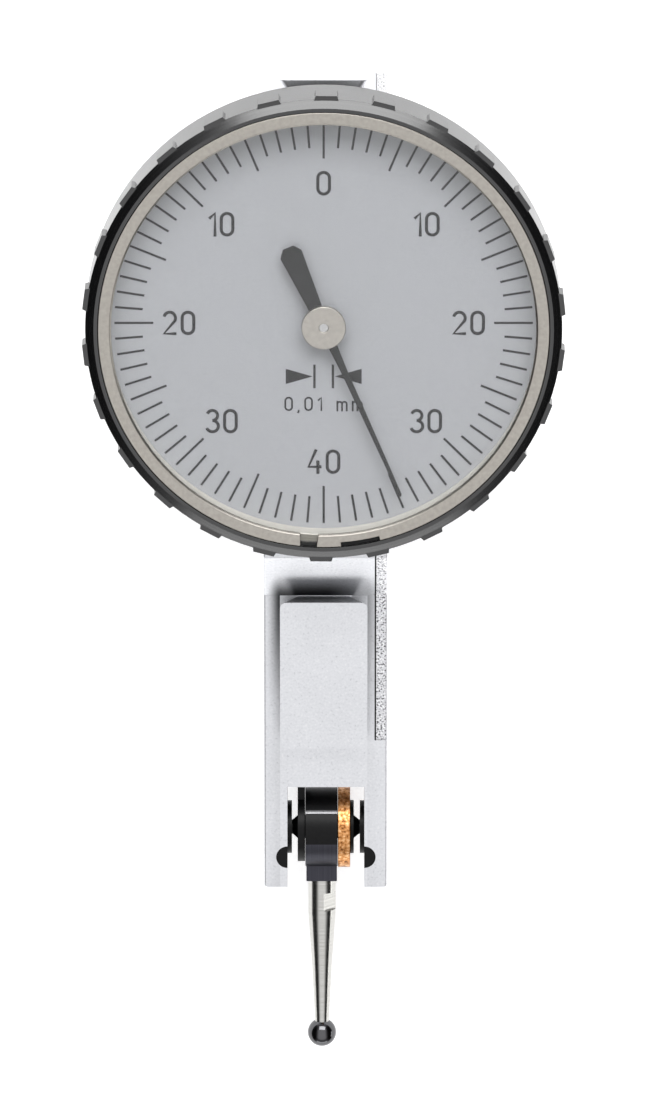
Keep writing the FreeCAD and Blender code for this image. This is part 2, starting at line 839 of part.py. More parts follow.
def rivet_holes():
    """The two rivet holes through arm and sector."""
    return [(reach, "0", "rivet_radius") for reach in ("rivet_first", "rivet_second")]


def measuring_lever():
    """The clutch's left disc with the long arm that carries the gear sector."""
    body = new_body("measuring_lever")
    slab(body, "YZ", "-clutch_left", "lever_right", ("0", "0", "lever_disc_radius"))
    arm = [
        ("0", "-arm_root_half"),
        ("arm_reach", "-arm_end_half"),
        ("arm_reach", "arm_end_half"),
        ("0", "arm_root_half"),
    ]
    slab(body, "YZ", "-clutch_left", "lever_right", arm)
    hollow(body, "YZ", "-clutch_left", "lever_right", ("0", "0", "shaft_radius"), *rivet_holes())
    on_lever(body)


def gear_sector():
    """The toothed sector on the end of the arm."""
    body = new_body("gear_sector")
    left, right = "sector_left", "-clutch_left"
    root = "sector_pitch - 1.25 * gear_module"
    ring = [(f"{root} - sector_rim", left), (root, left), (root, right), (f"{root} - sector_rim", right)]
    revolve(body, "X", ring, angle="sector_rim_angle")
    rim_half = f"({root} - sector_rim) * tan(sector_rim_angle / 2)"
    web = [
        ("sector_foot", "-sector_foot_half"),
        (f"{root} - sector_rim / 2", f"-{rim_half}"),
        (f"{root} - sector_rim / 2", rim_half),
        ("sector_foot", "sector_foot_half"),
    ]
    slab(body, "YZ", left, right, web)
    span = "360 / sector_teeth * (sector_cut_teeth - 1)"
    cut_tooth = slab(body, "YZ", left, right, tooth("sector_pitch", "gear_module", f"-{span} / 2"))
    repeat(body, cut_tooth, "X", "sector_cut_teeth", span)
    hollow(body, "YZ", left, right, *rivet_holes())
    on_lever(body)


def sector_rivets():
    """Two rivets, headed on both sides."""
    rivets = []
    left, right = "sector_left", "lever_right"
    outline = stepped("0", ("rivet_head_radius", f"{left} - rivet_head", left),
                      ("rivet_radius", left, right),
                      ("rivet_head_radius", right, f"{right} + rivet_head"))
    for reach in ("rivet_first", "rivet_second"):
        y, z = turned_corner(reach, "0", "lever_tilt")
        rivet = turned("sector_rivet", "X", outline)
        rivets.append(stand(rivet, "0", f"-pivot_reach + {y}", f"pivot_z + {z}"))
    keep_group("sector_rivets", rivets)


def clutch_disc(name, radius, left, right):
    """A plain disc on the pivot shaft."""
    body = turned(name, "X", stepped("shaft_radius", (radius, left, right)))
    keep(stand(body, "0", "-pivot_reach", "pivot_z"))


# ---- Stylus ----

def stylus_holder():
    """The clutch drum with the neck that the stylus screws into."""
    body = new_body("stylus_holder")
    slab(body, "YZ", "drum_left", "drum_right", ("0", "0", "drum_radius"))
    neck = rectangle("-neck_reach", "0", "-neck_half_height", "neck_half_height")
    slab(body, "YZ", "-neck_left", "neck_right", neck)
    hollow(body, "YZ", "drum_left", "drum_right", ("0", "0", "shaft_radius + drum_fit"))
    stem_hole = ("-stylus_left", "0", "stem_radius + stem_fit")
    hollow(body, "XZ", "-neck_reach", "stem_length - neck_reach", stem_hole)
    half = "drum_slit_width / 2"
    slit = [
        turned_corner("drum_radius - drum_slit_depth", f"-{half}", "drum_slit_angle"),
        turned_corner("drum_radius + drum_slit_depth", f"-{half}", "drum_slit_angle"),
        turned_corner("drum_radius + drum_slit_depth", half, "drum_slit_angle"),
        turned_corner("drum_radius - drum_slit_depth", half, "drum_slit_angle"),
    ]
    hollow(body, "YZ", "drum_left", "drum_right", slit)
    keep(stand(body, "0", "-pivot_reach", "pivot_z"))


def stylus_shank():
    """The tapering steel shank, with its stem in the holder and two spanner flats."""
    outline = [
        ("0", "stem_length - neck_reach"),
        ("stem_radius", "stem_length - neck_reach"),
        ("stem_radius", "-neck_reach"),
        ("shank_radius", "-neck_reach"),
        ("shank_radius", "-neck_reach - shank_straight"),
        ("shank_waist_radius", "-neck_reach - shank_straight - shank_waist"),
        ("seat_radius", "-shank_end"),
        ("0", "-shank_end"),
    ]
    body = turned("stylus_shank", "Y", outline)
    for turn in ("flat_turn", "flat_turn + 180"):
        waste = [
            turned_corner("flat_distance", "-shank_radius", turn),
            turned_corner("2 * shank_radius", "-shank_radius", turn),
            turned_corner("2 * shank_radius", "shank_radius", turn),
            turned_corner("flat_distance", "shank_radius", turn),
        ]
        start = "-neck_reach - flat_start"
        hollow(body, "XZ", f"{start} - flat_length", start, waste)
    keep(stand(body, "-stylus_left", "-pivot_reach", "pivot_z"))


def ball_tip():
    """The measuring ball, flattened where it is brazed to the shank."""
    ball = doc.addObject("Part::Sphere", "ball_tip")
    ball.Label = "ball_tip"
    ball.setExpression("Radius", formula("ball_radius"))
    ball.setExpression("Angle2", formula("ball_seat_angle"))
    stand(ball, "-stylus_left", "-pivot_reach - stylus_reach", "pivot_z", turn="-90", about=(1, 0, 0))
    doc.recompute()
    keep(ball)


# ---- Crown arbor ----

def crown_arbor():
    """The arbor across the cavity that carries lever pinion and crown wheel."""
    left, right = "arbor_shake - cavity_left", "bridge_left - arbor_shake"
    outline = stepped("0", ("arbor_pivot_radius", f"{left} - arbor_pivot_length", left),
                      ("arbor_radius", left, right),
                      ("arbor_pivot_radius", right, f"{right} + arbor_pivot_length"))
    keep(stand(turned("crown_arbor", "X", outline), "0", "0", "arbor_z"))


def lever_pinion():
    """The pinion that the sector turns, with a gap between teeth facing the pivot."""
    body = new_body("lever_pinion")
    left, right = "pinion_left", "pinion_left + pinion_width"
    slab(body, "YZ", left, right, ("0", "0", "pinion_pitch - 1.25 * gear_module"))
    first = slab(body, "YZ", left, right, tooth("pinion_pitch", "gear_module", "180 / pinion_teeth"))
    repeat(body, first, "X", "pinion_teeth")
    slab(body, "YZ", right, "crown_left", ("0", "0", "pinion_hub_radius"))
    hollow(body, "YZ", left, "crown_left", ("0", "0", "arbor_radius"))
    keep(stand(body, "0", "0", "arbor_z", turn="lever_tilt", about=(1, 0, 0)))


def crown_wheel():
    """The wheel with teeth on its face that drives the pointer's pinion."""
    body = new_body("crown_wheel")
    slab(body, "YZ", "crown_left", "crown_right", ("0", "0", "crown_radius"))
    half = "crown_tooth_width / 2"
    face_tooth = rectangle(f"-{half}", half, "crown_radius - crown_tooth_length", "0.995 * crown_radius")
    first = slab(body, "YZ", "crown_right - crown_disc / 4", "crown_tip", face_tooth)
    repeat(body, first, "X", "crown_teeth")
    hollow(body, "YZ", "crown_left", "crown_right", ("0", "0", "arbor_radius"))
    keep(stand(body, "0", "0", "arbor_z"))


def jewel(name, axis, radius, thickness, bore, depth):
    """A cup jewel with a blind hole, its open face on its own origin."""
    outline = [
        ("0", f"-({depth})"),
        (bore, f"-({depth})"),
        (bore, "0"),
        (radius, "0"),
        (radius, f"-({thickness})"),
        ("0", f"-({thickness})"),
    ]
    return turned(name, axis, outline)


def crown_jewels():
    """Two jewels for the crown arbor: one in the housing's wall, one in the bridge."""
    bore, depth = "arbor_pivot_radius + jewel_fit", "arbor_pivot_length"
    left = jewel("crown_jewel", "X", "jewel_radius", "jewel_thickness", bore, depth)
    stand(left, "-cavity_left", "0", "arbor_z")
    right = jewel("crown_jewel", "X", "jewel_radius", "jewel_thickness", bore, depth)
    stand(right, "bridge_left", "0", "arbor_z", turn="180", about=(0, 0, 1))
    keep_group("crown_jewels", [left, right])


# ---- Movement bridge ----

def movement_bridge():
    """The plate on the pillars that holds the right-hand jewel and the spindle's bracket."""
    body = new_body("movement_bridge")
    plate = rectangle("-bridge_front", "cavity_rear - bridge_edge_gap",
                      "cavity_z + bridge_edge_gap", "roof_z - bridge_edge_gap")
    slab(body, "YZ", "bridge_left", "bridge_right", plate)
    round_edges(body, "mill_radius", lambda edge: runs_along(edge, X_AXIS))
    holes = [(y, z, "bridge_screw_radius + screw_clearance") for y, z in PILLARS]
    hollow(body, "YZ", "bridge_left", "bridge_right", *holes)
    seats = [(y, z, "bridge_head_radius + screw_clearance") for y, z in PILLARS]
    hollow(body, "YZ", "bridge_right - bridge_head_height", "bridge_right", *seats)
    hollow(body, "YZ", "bridge_left", "bridge_left + jewel_thickness", ("0", "arbor_z", "jewel_radius"))
    return keep(body)


def bridge_screws():
    """Two screws through the bridge into the pillars."""
    screws = []
    length = "bridge_thickness - bridge_head_height + bridge_screw_length"
    for y, z in PILLARS:
        screw = slotted_screw("bridge_screw", "X", "bridge_head_radius", "bridge_head_height",
                              "bridge_screw_radius", length)
        screws.append(stand(screw, "bridge_right - bridge_head_height", y, z))
    keep_group("bridge_screws", screws)


def spindle_bracket():
    """The foot on the bridge that reaches under the pointer's spindle."""
    body = new_body("spindle_bracket")
    foot = rectangle("-bracket_half_width", "bracket_half_width", "bracket_z", "bracket_top")
    slab(body, "YZ", "bracket_left", "bridge_left", foot)
    hollow(body, "XY", "bracket_top - spindle_jewel_height", "bracket_top",
           ("0", "0", "spindle_jewel_radius"))
    return keep(body)


def lever_stop_pins():
    """Two pins that limit the swing of the lever's arm."""
    pins = []
    for y, z in STOP_PINS:
        pin = turned("lever_stop_pin", "X", stepped("0", ("stop_radius", "-stop_seat", "stop_length")))
        pins.append(stand(pin, "-cavity_left", f"-pivot_reach + {y}", f"pivot_z + {z}"))
    keep_group("lever_stop_pins", pins)


# ---- Pointer spindle ----

def spindle_jewel():
    """The jewel under the pointer's spindle."""
    body = jewel("spindle_jewel", "Z", "spindle_jewel_radius", "spindle_jewel_height",
                 "spindle_pivot_radius + jewel_fit", "0.8 * spindle_jewel_height")
    keep(stand(body, "0", "0", "bracket_top"))


def spindle_bush():
    """The upper bush of the spindle, through the housing's roof and the carrier."""
    body = turned("spindle_bush", "Z", stepped("spindle_radius + spindle_fit",
                  ("spindle_bush_radius", "roof_z", "recess_z")))
    return keep(body)


def pointer_spindle():
    """The spindle that carries pinion, hairspring collet and pointer."""
    shoulder = "bracket_top + arbor_shake"
    foot = "bracket_top - 0.7 * spindle_jewel_height"
    body = turned("pointer_spindle", "Z", stepped("0", ("spindle_pivot_radius", foot, shoulder),
                  ("spindle_radius", shoulder, "hub_top - hub_dimple")))
    return keep(body)


def pointer_pinion():
    """The small pinion in mesh with the crown wheel, a gap between its teeth facing the wheel."""
    body = new_body("pointer_pinion")
    low, high = "pointer_pinion_z", "pointer_pinion_z + pointer_pinion_height"
    slab(body, "XY", low, high, ("0", "0", "pointer_pitch - 1.25 * pointer_module"))
    first = slab(body, "XY", low, high, tooth("pointer_pitch", "pointer_module",
                 "180 / pointer_teeth", "0.35", "0.85"))
    repeat(body, first, "Z", "pointer_teeth")
    hollow(body, "XY", low, high, ("0", "0", "spindle_radius"))
    return keep(body)


def hairspring_collet():
    """The collar that holds the hairspring's inner end."""
    low = "recess_z + collet_rise"
    body = turned("hairspring_collet", "Z",
                  stepped("spindle_radius", ("collet_radius", low, f"{low} + collet_height")))
    return keep(body)


def hairspring():
    """A flat spiral ribbon from the collet out to the stud."""
    thickness = number("spring_thickness")
    start = number("collet_radius + spring_gap") + thickness / 2
    end = number("spring_outer")
    turns = number("spring_turns")
    steps = round(24 * turns)

    def spiral(offset):
        points = []
        for step in range(steps + 1):
            share = step / steps
            radius = start + (end - start) * share + offset
            angle = 2 * math.pi * turns * (share - 1)
            points.append(FreeCAD.Vector(radius * math.cos(angle), radius * math.sin(angle), 0))
        curve = Part.BSplineCurve()
        curve.interpolate(points)
        return curve.toShape()

    inner, outer = spiral(-thickness / 2), spiral(thickness / 2)
    ends = [
        Part.makeLine(inner.lastVertex().Point, outer.lastVertex().Point),
        Part.makeLine(outer.firstVertex().Point, inner.firstVertex().Point),
    ]
    face = Part.Face(Part.Wire(Part.sortEdges([inner, outer] + ends)[0]))
    ribbon = doc.addObject("Part::Feature", "hairspring")
    ribbon.Label = "hairspring"
    ribbon.Shape = face.extrude(FreeCAD.Vector(0, 0, number("spring_height")))
    low = "recess_z + collet_rise + (collet_height - spring_height) / 2"
    keep(stand(ribbon, "0", "0", low))


def hairspring_stud():
    """The post in the carrier that holds the hairspring's outer end."""
    body = turned("hairspring_stud", "Z", stepped("0", ("stud_radius", "0", "stud_height")))
    keep(stand(body, "spring_outer", "stud_radius", "recess_z"))


# ---- Dial carrier ----

def dial_carrier():
    """The fixed disc under the dial: its rim holds the grip ring down on the platform."""
    rim_z = "grip_z + grip_flange + carrier_shake"
    outline = [
        ("spindle_bush_radius", "platform_z"),
        ("carrier_boss_radius", "platform_z"),
        ("carrier_boss_radius", rim_z),
        ("bezel_bore - carrier_gap", rim_z),
        ("bezel_bore - carrier_gap", "carrier_top"),
        ("carrier_recess_radius", "carrier_top"),
        ("carrier_recess_radius", "recess_z"),
        ("spindle_bush_radius", "recess_z"),
    ]
    body = turned("dial_carrier", "Z", outline)
    holes = [(x, y, "carrier_screw_radius + screw_clearance") for x, y in CARRIER_SCREWS]
    hollow(body, "XY", "platform_z", "carrier_top", *holes)
    seats = [(x, y, "carrier_head_radius + screw_clearance") for x, y in CARRIER_SCREWS]
    hollow(body, "XY", "carrier_top - carrier_head_height", "carrier_top", *seats)
    return keep(body)


def carrier_screws():
    """Four screws that hold the carrier on the platform."""
    screws = []
    for x, y in CARRIER_SCREWS:
        screw = slotted_screw("carrier_screw", "Z", "carrier_head_radius", "carrier_head_height",
                              "carrier_screw_radius", "carrier_screw_length")
        screws.append(stand(screw, x, y, "carrier_top - carrier_head_height"))
    keep_group("carrier_screws", screws)


# ---- Bezel ----

def grip_ring():
    """The ribbed ring that turns dial and crystal about the carrier."""
    groove_top = "crystal_top + groove_height"
    outline = [
        ("carrier_boss_radius + carrier_gap", "grip_z"),
        ("grip_radius", "grip_z"),
        ("grip_radius", "grip_top - grip_cone"),
        ("bezel_bore + grip_lip", "grip_top"),
        ("bezel_bore", "grip_top"),
        ("bezel_bore", groove_top),
        ("bezel_bore + groove_depth", groove_top),
        ("bezel_bore + groove_depth", "crystal_top"),
        ("bezel_bore", "crystal_top"),
        ("bezel_bore", "grip_z + grip_flange"),
        ("carrier_boss_radius + carrier_gap", "grip_z + grip_flange"),
    ]
    body = turned("grip_ring", "Z", outline)
    middle = "90 - rib_turn"
    root, top = "grip_radius - rib_root_depth", "grip_radius + rib_rise"
    rib = [
        polar(root, f"{middle} - rib_root_angle / 2"),
        polar(top, f"{middle} - rib_top_angle / 2"),
        polar(top, f"{middle} + rib_top_angle / 2"),
        polar(root, f"{middle} + rib_root_angle / 2"),
    ]
    first = slab(body, "XY", "grip_z + rib_foot", "grip_top - rib_drop", rib)
    repeat(body, first, "Z", "rib_count")
    return keep(body)


def retaining_ring():
    """The split spring ring over the crystal, snapped into the grip ring's groove."""
    bead = "crystal_top + groove_height - stack_gap / 2"
    outer = "bezel_bore + groove_depth - stack_gap"
    outline = [
        ("ring_inner_radius", "crystal_top"),
        (outer, "crystal_top"),
        (outer, bead),
        ("stack_radius", bead),
        ("stack_radius", "grip_top"),
        ("ring_inner_radius + ring_chamfer", "grip_top"),
        ("ring_inner_radius", "grip_top - ring_chamfer"),
    ]
    body = turned("retaining_ring", "Z", outline)
    middle = "270 - ring_gap_angle"
    gap = [
        turned_corner("ring_inner_radius - ring_thickness", "-ring_gap_inner", middle),
        turned_corner("bezel_bore + ring_thickness", "-ring_gap_outer", middle),
        turned_corner("bezel_bore + ring_thickness", "ring_gap_outer", middle),
        turned_corner("ring_inner_radius - ring_thickness", "ring_gap_inner", middle),
    ]
    hollow(body, "XY", "crystal_top", "grip_top", gap)
    deep = "stack_radius - notch_depth"
    far = "bezel_bore + ring_thickness"
    bend = "(notch_end - notch_start) / 4"
    steps = [f"270 + notch_start + {step} * {bend}" for step in range(5)]
    notch = [polar(deep, angle) for angle in steps] + [polar(far, angle) for angle in reversed(steps)]
    hollow(body, "XY", "crystal_top", "grip_top", notch)
    return keep(body)


def dial_stack():
    """Crystal with its gasket, the rehaut ring that spaces it, and the dial plate."""
    gasket = stepped("crystal_radius", ("stack_radius", "crystal_z", "crystal_top"))
    keep(turned("crystal_gasket", "Z", gasket))
    keep(turned("crystal", "Z", stepped("0", ("crystal_radius", "crystal_z", "crystal_top"))))
    rehaut = stepped("rehaut_radius", ("stack_radius", "dial_face", "crystal_z"))
    keep(turned("rehaut_ring", "Z", rehaut))
    dial = stepped("dial_hole_radius", ("stack_radius", "dial_z", "dial_face"))
    keep(turned("dial_plate", "Z", dial))


def wave_spring():
    """The wavy ring between carrier and dial that gives the bezel its friction."""
    low = number("carrier_top + wave_gap")
    high = number("dial_z - wave_thickness")
    waves = number("wave_count")
    steps = round(12 * waves)

    def edge(radius):
        points = []
        for step in range(steps):
            angle = 2 * math.pi * step / steps
            height = (low + high) / 2 + (high - low) / 2 * math.sin(waves * angle)
            points.append(FreeCAD.Vector(radius * math.cos(angle), radius * math.sin(angle), height))
        curve = Part.BSplineCurve()
        curve.interpolate(points, PeriodicFlag=True)
        return curve.toShape()

    face = Part.makeRuledSurface(edge(number("wave_inner_radius")), edge(number("wave_outer_radius")))
    ring = doc.addObject("Part::Feature", "wave_spring")
    ring.Label = "wave_spring"
    ring.Shape = face.extrude(FreeCAD.Vector(0, 0, number("wave_thickness")))
    keep(ring)


# ---- Pointer ----

def pointer():
    """The sheet pointer with its counterweight tail, set to where it stands at rest."""
    body = new_body("pointer")
    low, high = "0", "pointer_thickness"
    slab(body, "XY", low, high, ("0", "0", "pointer_disc_radius"))
    right_side = [
        ("tail_end_half", "-tail_reach"),
        ("tail_wide_half", "-tail_wide"),
        ("tail_root_half", "0"),
        ("pointer_root_half", "pointer_disc_radius"),
        ("pointer_neck_half", "pointer_neck"),
        ("pointer_tip_half", "pointer_reach - pointer_point"),
    ]
    left_side = [(f"-{x}", y) for x, y in reversed(right_side)]
    slab(body, "XY", low, high, right_side + [("0", "pointer_reach")] + left_side)
    hollow(body, "XY", low, high, ("0", "0", "hub_tube_radius"))
    keep(stand(body, "0", "0", "pointer_z", turn="-pointer_angle", about=(0, 0, 1)))


def pointer_hub():
    """The turned hub that holds the pointer on its spindle."""
    outline = [
        ("spindle_radius", "pointer_z - hub_tube"),
        ("hub_tube_radius", "pointer_z - hub_tube"),
        ("hub_tube_radius", "hub_z"),
        ("hub_radius", "hub_z"),
        ("hub_radius", "hub_top"),
        ("spindle_radius", "hub_top"),
    ]
    body = turned("pointer_hub", "Z", outline)
    return keep(body)


housing()
side_cover()
cover_screws()
bearing_bush("bearing_bush_left", "-1", "-slot_left", "left_flange", "bush_recess - body_left")
bearing_bush("bearing_bush_right", "1", "slot_right", "right_flange", "body_right - bush_recess")
bush_keys()
pivot_shaft()
measuring_lever()
gear_sector()
sector_rivets()
clutch_disc("friction_disc", "friction_radius", "friction_left", "friction_right")
clutch_disc("clutch_washer", "washer_radius", "friction_right", "washer_right")
stylus_holder()
stylus_shank()
ball_tip()
crown_arbor()
lever_pinion()
crown_wheel()
crown_jewels()
movement_bridge()
bridge_screws()
spindle_bracket()
lever_stop_pins()
spindle_jewel()
spindle_bush()
pointer_spindle()
pointer_pinion()
hairspring_collet()
hairspring()
hairspring_stud()
dial_carrier()
carrier_screws()
grip_ring()
retaining_ring()
dial_stack()
wave_spring()
pointer()
pointer_hub()
doc.recompute()

# ---- Check everything, then write one STEP file for each node ----

for thing in doc.Objects:
    if "Invalid" in thing.State or "Error" in thing.State:
        raise ValueError(f"{thing.Label} failed: {thing.State}")
for node in nodes.values():
    check(node)

os.makedirs("parts", exist_ok=True)
for name, node in nodes.items():
    node.Shape.exportStep(f"parts/{name}.step")
    print(f"{name}: {len(node.Shape.Solids)} solid(s), {node.Shape.Volume:.3f} mm3")
print(f"{len(nodes)} nodes")
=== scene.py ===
# %% [markdown]
# # Dressing a dial test indicator
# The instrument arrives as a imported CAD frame: forty-one pieces at their real size, sorted into moving
# bodies. This lesson gives them their finishes, prints the dial, and lights the piece on a pale bench.
# Nothing that CAD made is moved: each new piece rides on a body by name, so it turns when the body turns.

# %% Load the frame
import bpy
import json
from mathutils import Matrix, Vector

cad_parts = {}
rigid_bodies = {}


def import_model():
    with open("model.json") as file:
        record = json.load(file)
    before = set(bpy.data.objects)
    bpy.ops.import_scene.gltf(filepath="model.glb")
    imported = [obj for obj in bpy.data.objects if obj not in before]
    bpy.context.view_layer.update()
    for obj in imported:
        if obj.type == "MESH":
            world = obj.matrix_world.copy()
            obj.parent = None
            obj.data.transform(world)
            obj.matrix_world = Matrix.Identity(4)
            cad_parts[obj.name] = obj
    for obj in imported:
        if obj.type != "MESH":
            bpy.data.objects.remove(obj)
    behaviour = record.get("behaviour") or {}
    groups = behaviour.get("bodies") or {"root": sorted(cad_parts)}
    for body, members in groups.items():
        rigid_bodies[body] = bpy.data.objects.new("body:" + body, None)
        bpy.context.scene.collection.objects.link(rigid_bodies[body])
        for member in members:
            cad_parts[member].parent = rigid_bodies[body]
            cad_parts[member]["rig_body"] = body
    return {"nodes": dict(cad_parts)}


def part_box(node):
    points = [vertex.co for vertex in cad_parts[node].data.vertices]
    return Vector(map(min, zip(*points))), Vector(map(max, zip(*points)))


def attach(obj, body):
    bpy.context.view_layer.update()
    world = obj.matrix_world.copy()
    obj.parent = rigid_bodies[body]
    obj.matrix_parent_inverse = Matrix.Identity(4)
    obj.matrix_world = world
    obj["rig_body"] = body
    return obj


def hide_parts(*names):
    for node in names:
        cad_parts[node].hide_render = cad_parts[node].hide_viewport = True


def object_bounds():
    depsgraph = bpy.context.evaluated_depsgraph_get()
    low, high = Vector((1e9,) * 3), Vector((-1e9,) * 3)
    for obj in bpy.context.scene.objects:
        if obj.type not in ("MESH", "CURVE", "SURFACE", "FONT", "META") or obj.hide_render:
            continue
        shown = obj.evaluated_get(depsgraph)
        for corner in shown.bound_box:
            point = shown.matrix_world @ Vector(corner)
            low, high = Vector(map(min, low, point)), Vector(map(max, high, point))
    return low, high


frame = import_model()
cad_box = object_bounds()
print("CAD box, mm:", [[round(1000 * value, 2) for value in corner] for corner in cad_box])

# %% The tools of this lesson
import json
import math

import bmesh
import bpy
from mathutils import Matrix, Vector

MM = 0.001
scene = bpy.context.scene


def srgb(colour):
    """An sRGB hex colour, as the linear colour that a shader works in."""
    shares = [int(colour[at:at + 2], 16) / 255 for at in (0, 2, 4)]
    return tuple(s / 12.92 if s <= 0.04045 else ((s + 0.055) / 1.055) ** 2.4 for s in shares) + (1.0,)


def add_node(tree, kind, inputs=None, **settings):
    """Adds one node. settings are its properties; inputs gives sockets a value or another node's output."""
    node = tree.nodes.new(kind)
    for name, value in settings.items():
        setattr(node, name, value)
    for socket, value in (inputs or {}).items():
        if isinstance(value, bpy.types.NodeSocket):
            tree.links.new(value, node.inputs[socket])
        else:
            node.inputs[socket].default_value = value
    return node


# %% [markdown]
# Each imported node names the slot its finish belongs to. Those names are kept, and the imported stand-in
# materials are thrown away, so that the finishes made here can bear the same names.

# %% Which slot each node takes its finish from
slot_of = {name: node.data.materials[0].name for name, node in frame["nodes"].items()}
for stand_in in list(bpy.data.materials):
    bpy.data.materials.remove(stand_in)
print(len(set(slot_of.values())), "slots on", len(slot_of), "nodes")

# %% [markdown]
# ## The camera
# A measuring instrument is looked at here from far away with a long lens, so that its circles stay circles.
# The view is from straight above the dial, tipped a little towards the rear, which shows the rear of the
# grip ring. The camera is built from that tilt: its up direction, its line of sight, and how far the
# middle of the frame lies below the dial's centre.

# %% Camera
VIEW_TILT = math.radians(17.05)
VIEW_DISTANCE = 850 * MM
LENS = 411
DROP_BELOW_DIAL = 15.41 * MM
SIDE_STEP = 0.09 * MM

dial_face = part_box("dial_plate")[1].z
dial_centre = Vector((0, 0, dial_face))
to_camera = Vector((0, math.sin(VIEW_TILT), math.cos(VIEW_TILT)))
view_up = Vector((0, math.cos(VIEW_TILT), -math.sin(VIEW_TILT)))
view_right = Vector((1, 0, 0))

camera = bpy.data.objects.new("bench_camera", bpy.data.cameras.new("bench_camera"))
scene.collection.objects.link(camera)
scene.camera = camera
camera.data.lens = LENS
camera.data.sensor_width = 36
camera.data.clip_end = 10
turn = Matrix((view_right, view_up, to_camera)).transposed()
place = dial_centre + VIEW_DISTANCE * to_camera - DROP_BELOW_DIAL * view_up + SIDE_STEP * view_right
camera.matrix_world = Matrix.Translation(place) @ turn.to_4x4()
print("camera at", [round(value, 3) for value in camera.location])

# %% [markdown]
# ## Bench and light
# Chrome shows what surrounds it more than it shows itself, so the surroundings are made first. A
# studio puts such a piece on a lit white table, hangs a large soft box overhead, stands a bright
# one behind it, and leaves the room dark at both sides, so that round black parts keep a crisp edge. The
# world here is that room, drawn by direction: how high a ray points picks a band, and how far it points
# to the side darkens it. Rays straight from the camera see a plain pale backdrop instead.

# %% The room
HEIGHT_BANDS = [(0.00, 0.75), (0.12, 0.80), (0.30, 0.30), (0.55, 0.35), (0.72, 1.00), (1.00, 1.12)]
SIDE_DARKNESS = 0.94
SIDE_START = 0.35
SIDE_END = 0.75
BACKDROP = "F4F5F6"
PAPER = "F7F7F7"
TABLE_GLOW = 0.62
BENCH_SIDE = 1.6

scene.view_settings.view_transform = "Standard"
world = bpy.data.worlds.new("light_table_room")
scene.world = world
world.use_nodes = True
room = world.node_tree
room.nodes.clear()
pointing = add_node(room, "ShaderNodeTexCoord").outputs["Generated"]
direction = add_node(room, "ShaderNodeSeparateXYZ", {0: pointing})
bands = add_node(room, "ShaderNodeValToRGB", {"Fac": direction.outputs["Z"]})
while len(bands.color_ramp.elements) < len(HEIGHT_BANDS):
    bands.color_ramp.elements.new(0.5)
for element, (position, glow) in zip(bands.color_ramp.elements, HEIGHT_BANDS):
    element.position = position
    element.color = (glow, glow, glow * 1.01, 1)
sideways = add_node(room, "ShaderNodeMath", {0: direction.outputs["X"]}, operation="ABSOLUTE")
dimming = add_node(room, "ShaderNodeMapRange",
                   {"Value": sideways.outputs[0], "From Min": SIDE_START, "From Max": SIDE_END,
                    "To Min": 1.0, "To Max": 1.0 - SIDE_DARKNESS},
                   interpolation_type="SMOOTHSTEP")
seen_room = add_node(room, "ShaderNodeBackground", {"Color": bands.outputs["Color"],
                                                    "Strength": dimming.outputs["Result"]})
backdrop = add_node(room, "ShaderNodeBackground", {"Color": srgb(BACKDROP), "Strength": 1.0})
straight = add_node(room, "ShaderNodeLightPath").outputs["Is Camera Ray"]
mixed = add_node(room, "ShaderNodeMixShader", {0: straight, 1: seen_room.outputs[0], 2: backdrop.outputs[0]})
add_node(room, "ShaderNodeOutputWorld", {"Surface": mixed.outputs[0]})
print("room:", len(HEIGHT_BANDS), "bands of height")

# %% [markdown]
# Three soft boxes do the rest: a strong one behind and above, which the ring's rear and its sloped lip
# mirror, one low on the right, which draws the bright line inside the ring, and a long one low in front.

# %% Soft boxes
def soft_box(name, place, width, height, radiance):
    """A rectangular area light at place, which faces the dial, as bright as radiance when looked at."""
    light = bpy.data.lights.new(name, "AREA")
    light.shape = "RECTANGLE"
    light.size = width
    light.size_y = height
    light.energy = radiance * math.pi * width * height
    box = bpy.data.objects.new(name, light)
    scene.collection.objects.link(box)
    box.location = place
    box.rotation_euler = (dial_centre - Vector(place)).to_track_quat("-Z", "Y").to_euler()


soft_box("rear_box", (0.03, 0.50, 0.47), 0.60, 0.36, 5.0)
soft_box("right_box", (0.55, -0.16, 0.06), 0.30, 0.09, 2.5)
soft_box("front_box", (0.0, -0.60, 0.10), 0.60, 0.16, 1.6)

# %% [markdown]
# The bench is matt white paper over a lamp. It glows a little by itself, as a light table does, so that
# the shadow round the instrument stays faint.

# %% The bench
bench_z = cad_box[0].z - 0.02 * MM
half = BENCH_SIDE / 2
corners = [(-half, -half, bench_z), (half, -half, bench_z), (half, half, bench_z), (-half, half, bench_z)]
bench_mesh = bpy.data.meshes.new("bench")
bench_mesh.from_pydata(corners, [], [(0, 1, 2, 3)])
bench = bpy.data.objects.new("bench", bench_mesh)
scene.collection.objects.link(bench)
paper = bpy.data.materials.new("white_paper")
paper.use_nodes = True
for socket, value in {"Base Color": srgb(PAPER), "Roughness": 0.9, "Emission Color": srgb(PAPER),
                      "Emission Strength": TABLE_GLOW}.items():
    paper.node_tree.nodes["Principled BSDF"].inputs[socket].default_value = value
bench_mesh.materials.append(paper)
print("bench at", round(bench_z / MM, 3), "mm")

# %% [markdown]
# ## How a finish is put together
# Each material below is one finish, named as a shop would name it. A finish starts from what the surface
# is, metal or paint, and how it was made, blasted, turned or ground. Its grain is a real size in
# millimetres. Seen whole, grain finer than a tenth of a millimetre would blur into a flat colour, so the
# finest grain here is drawn about that coarse.

# %% Helpers for finishes
finishes = {}


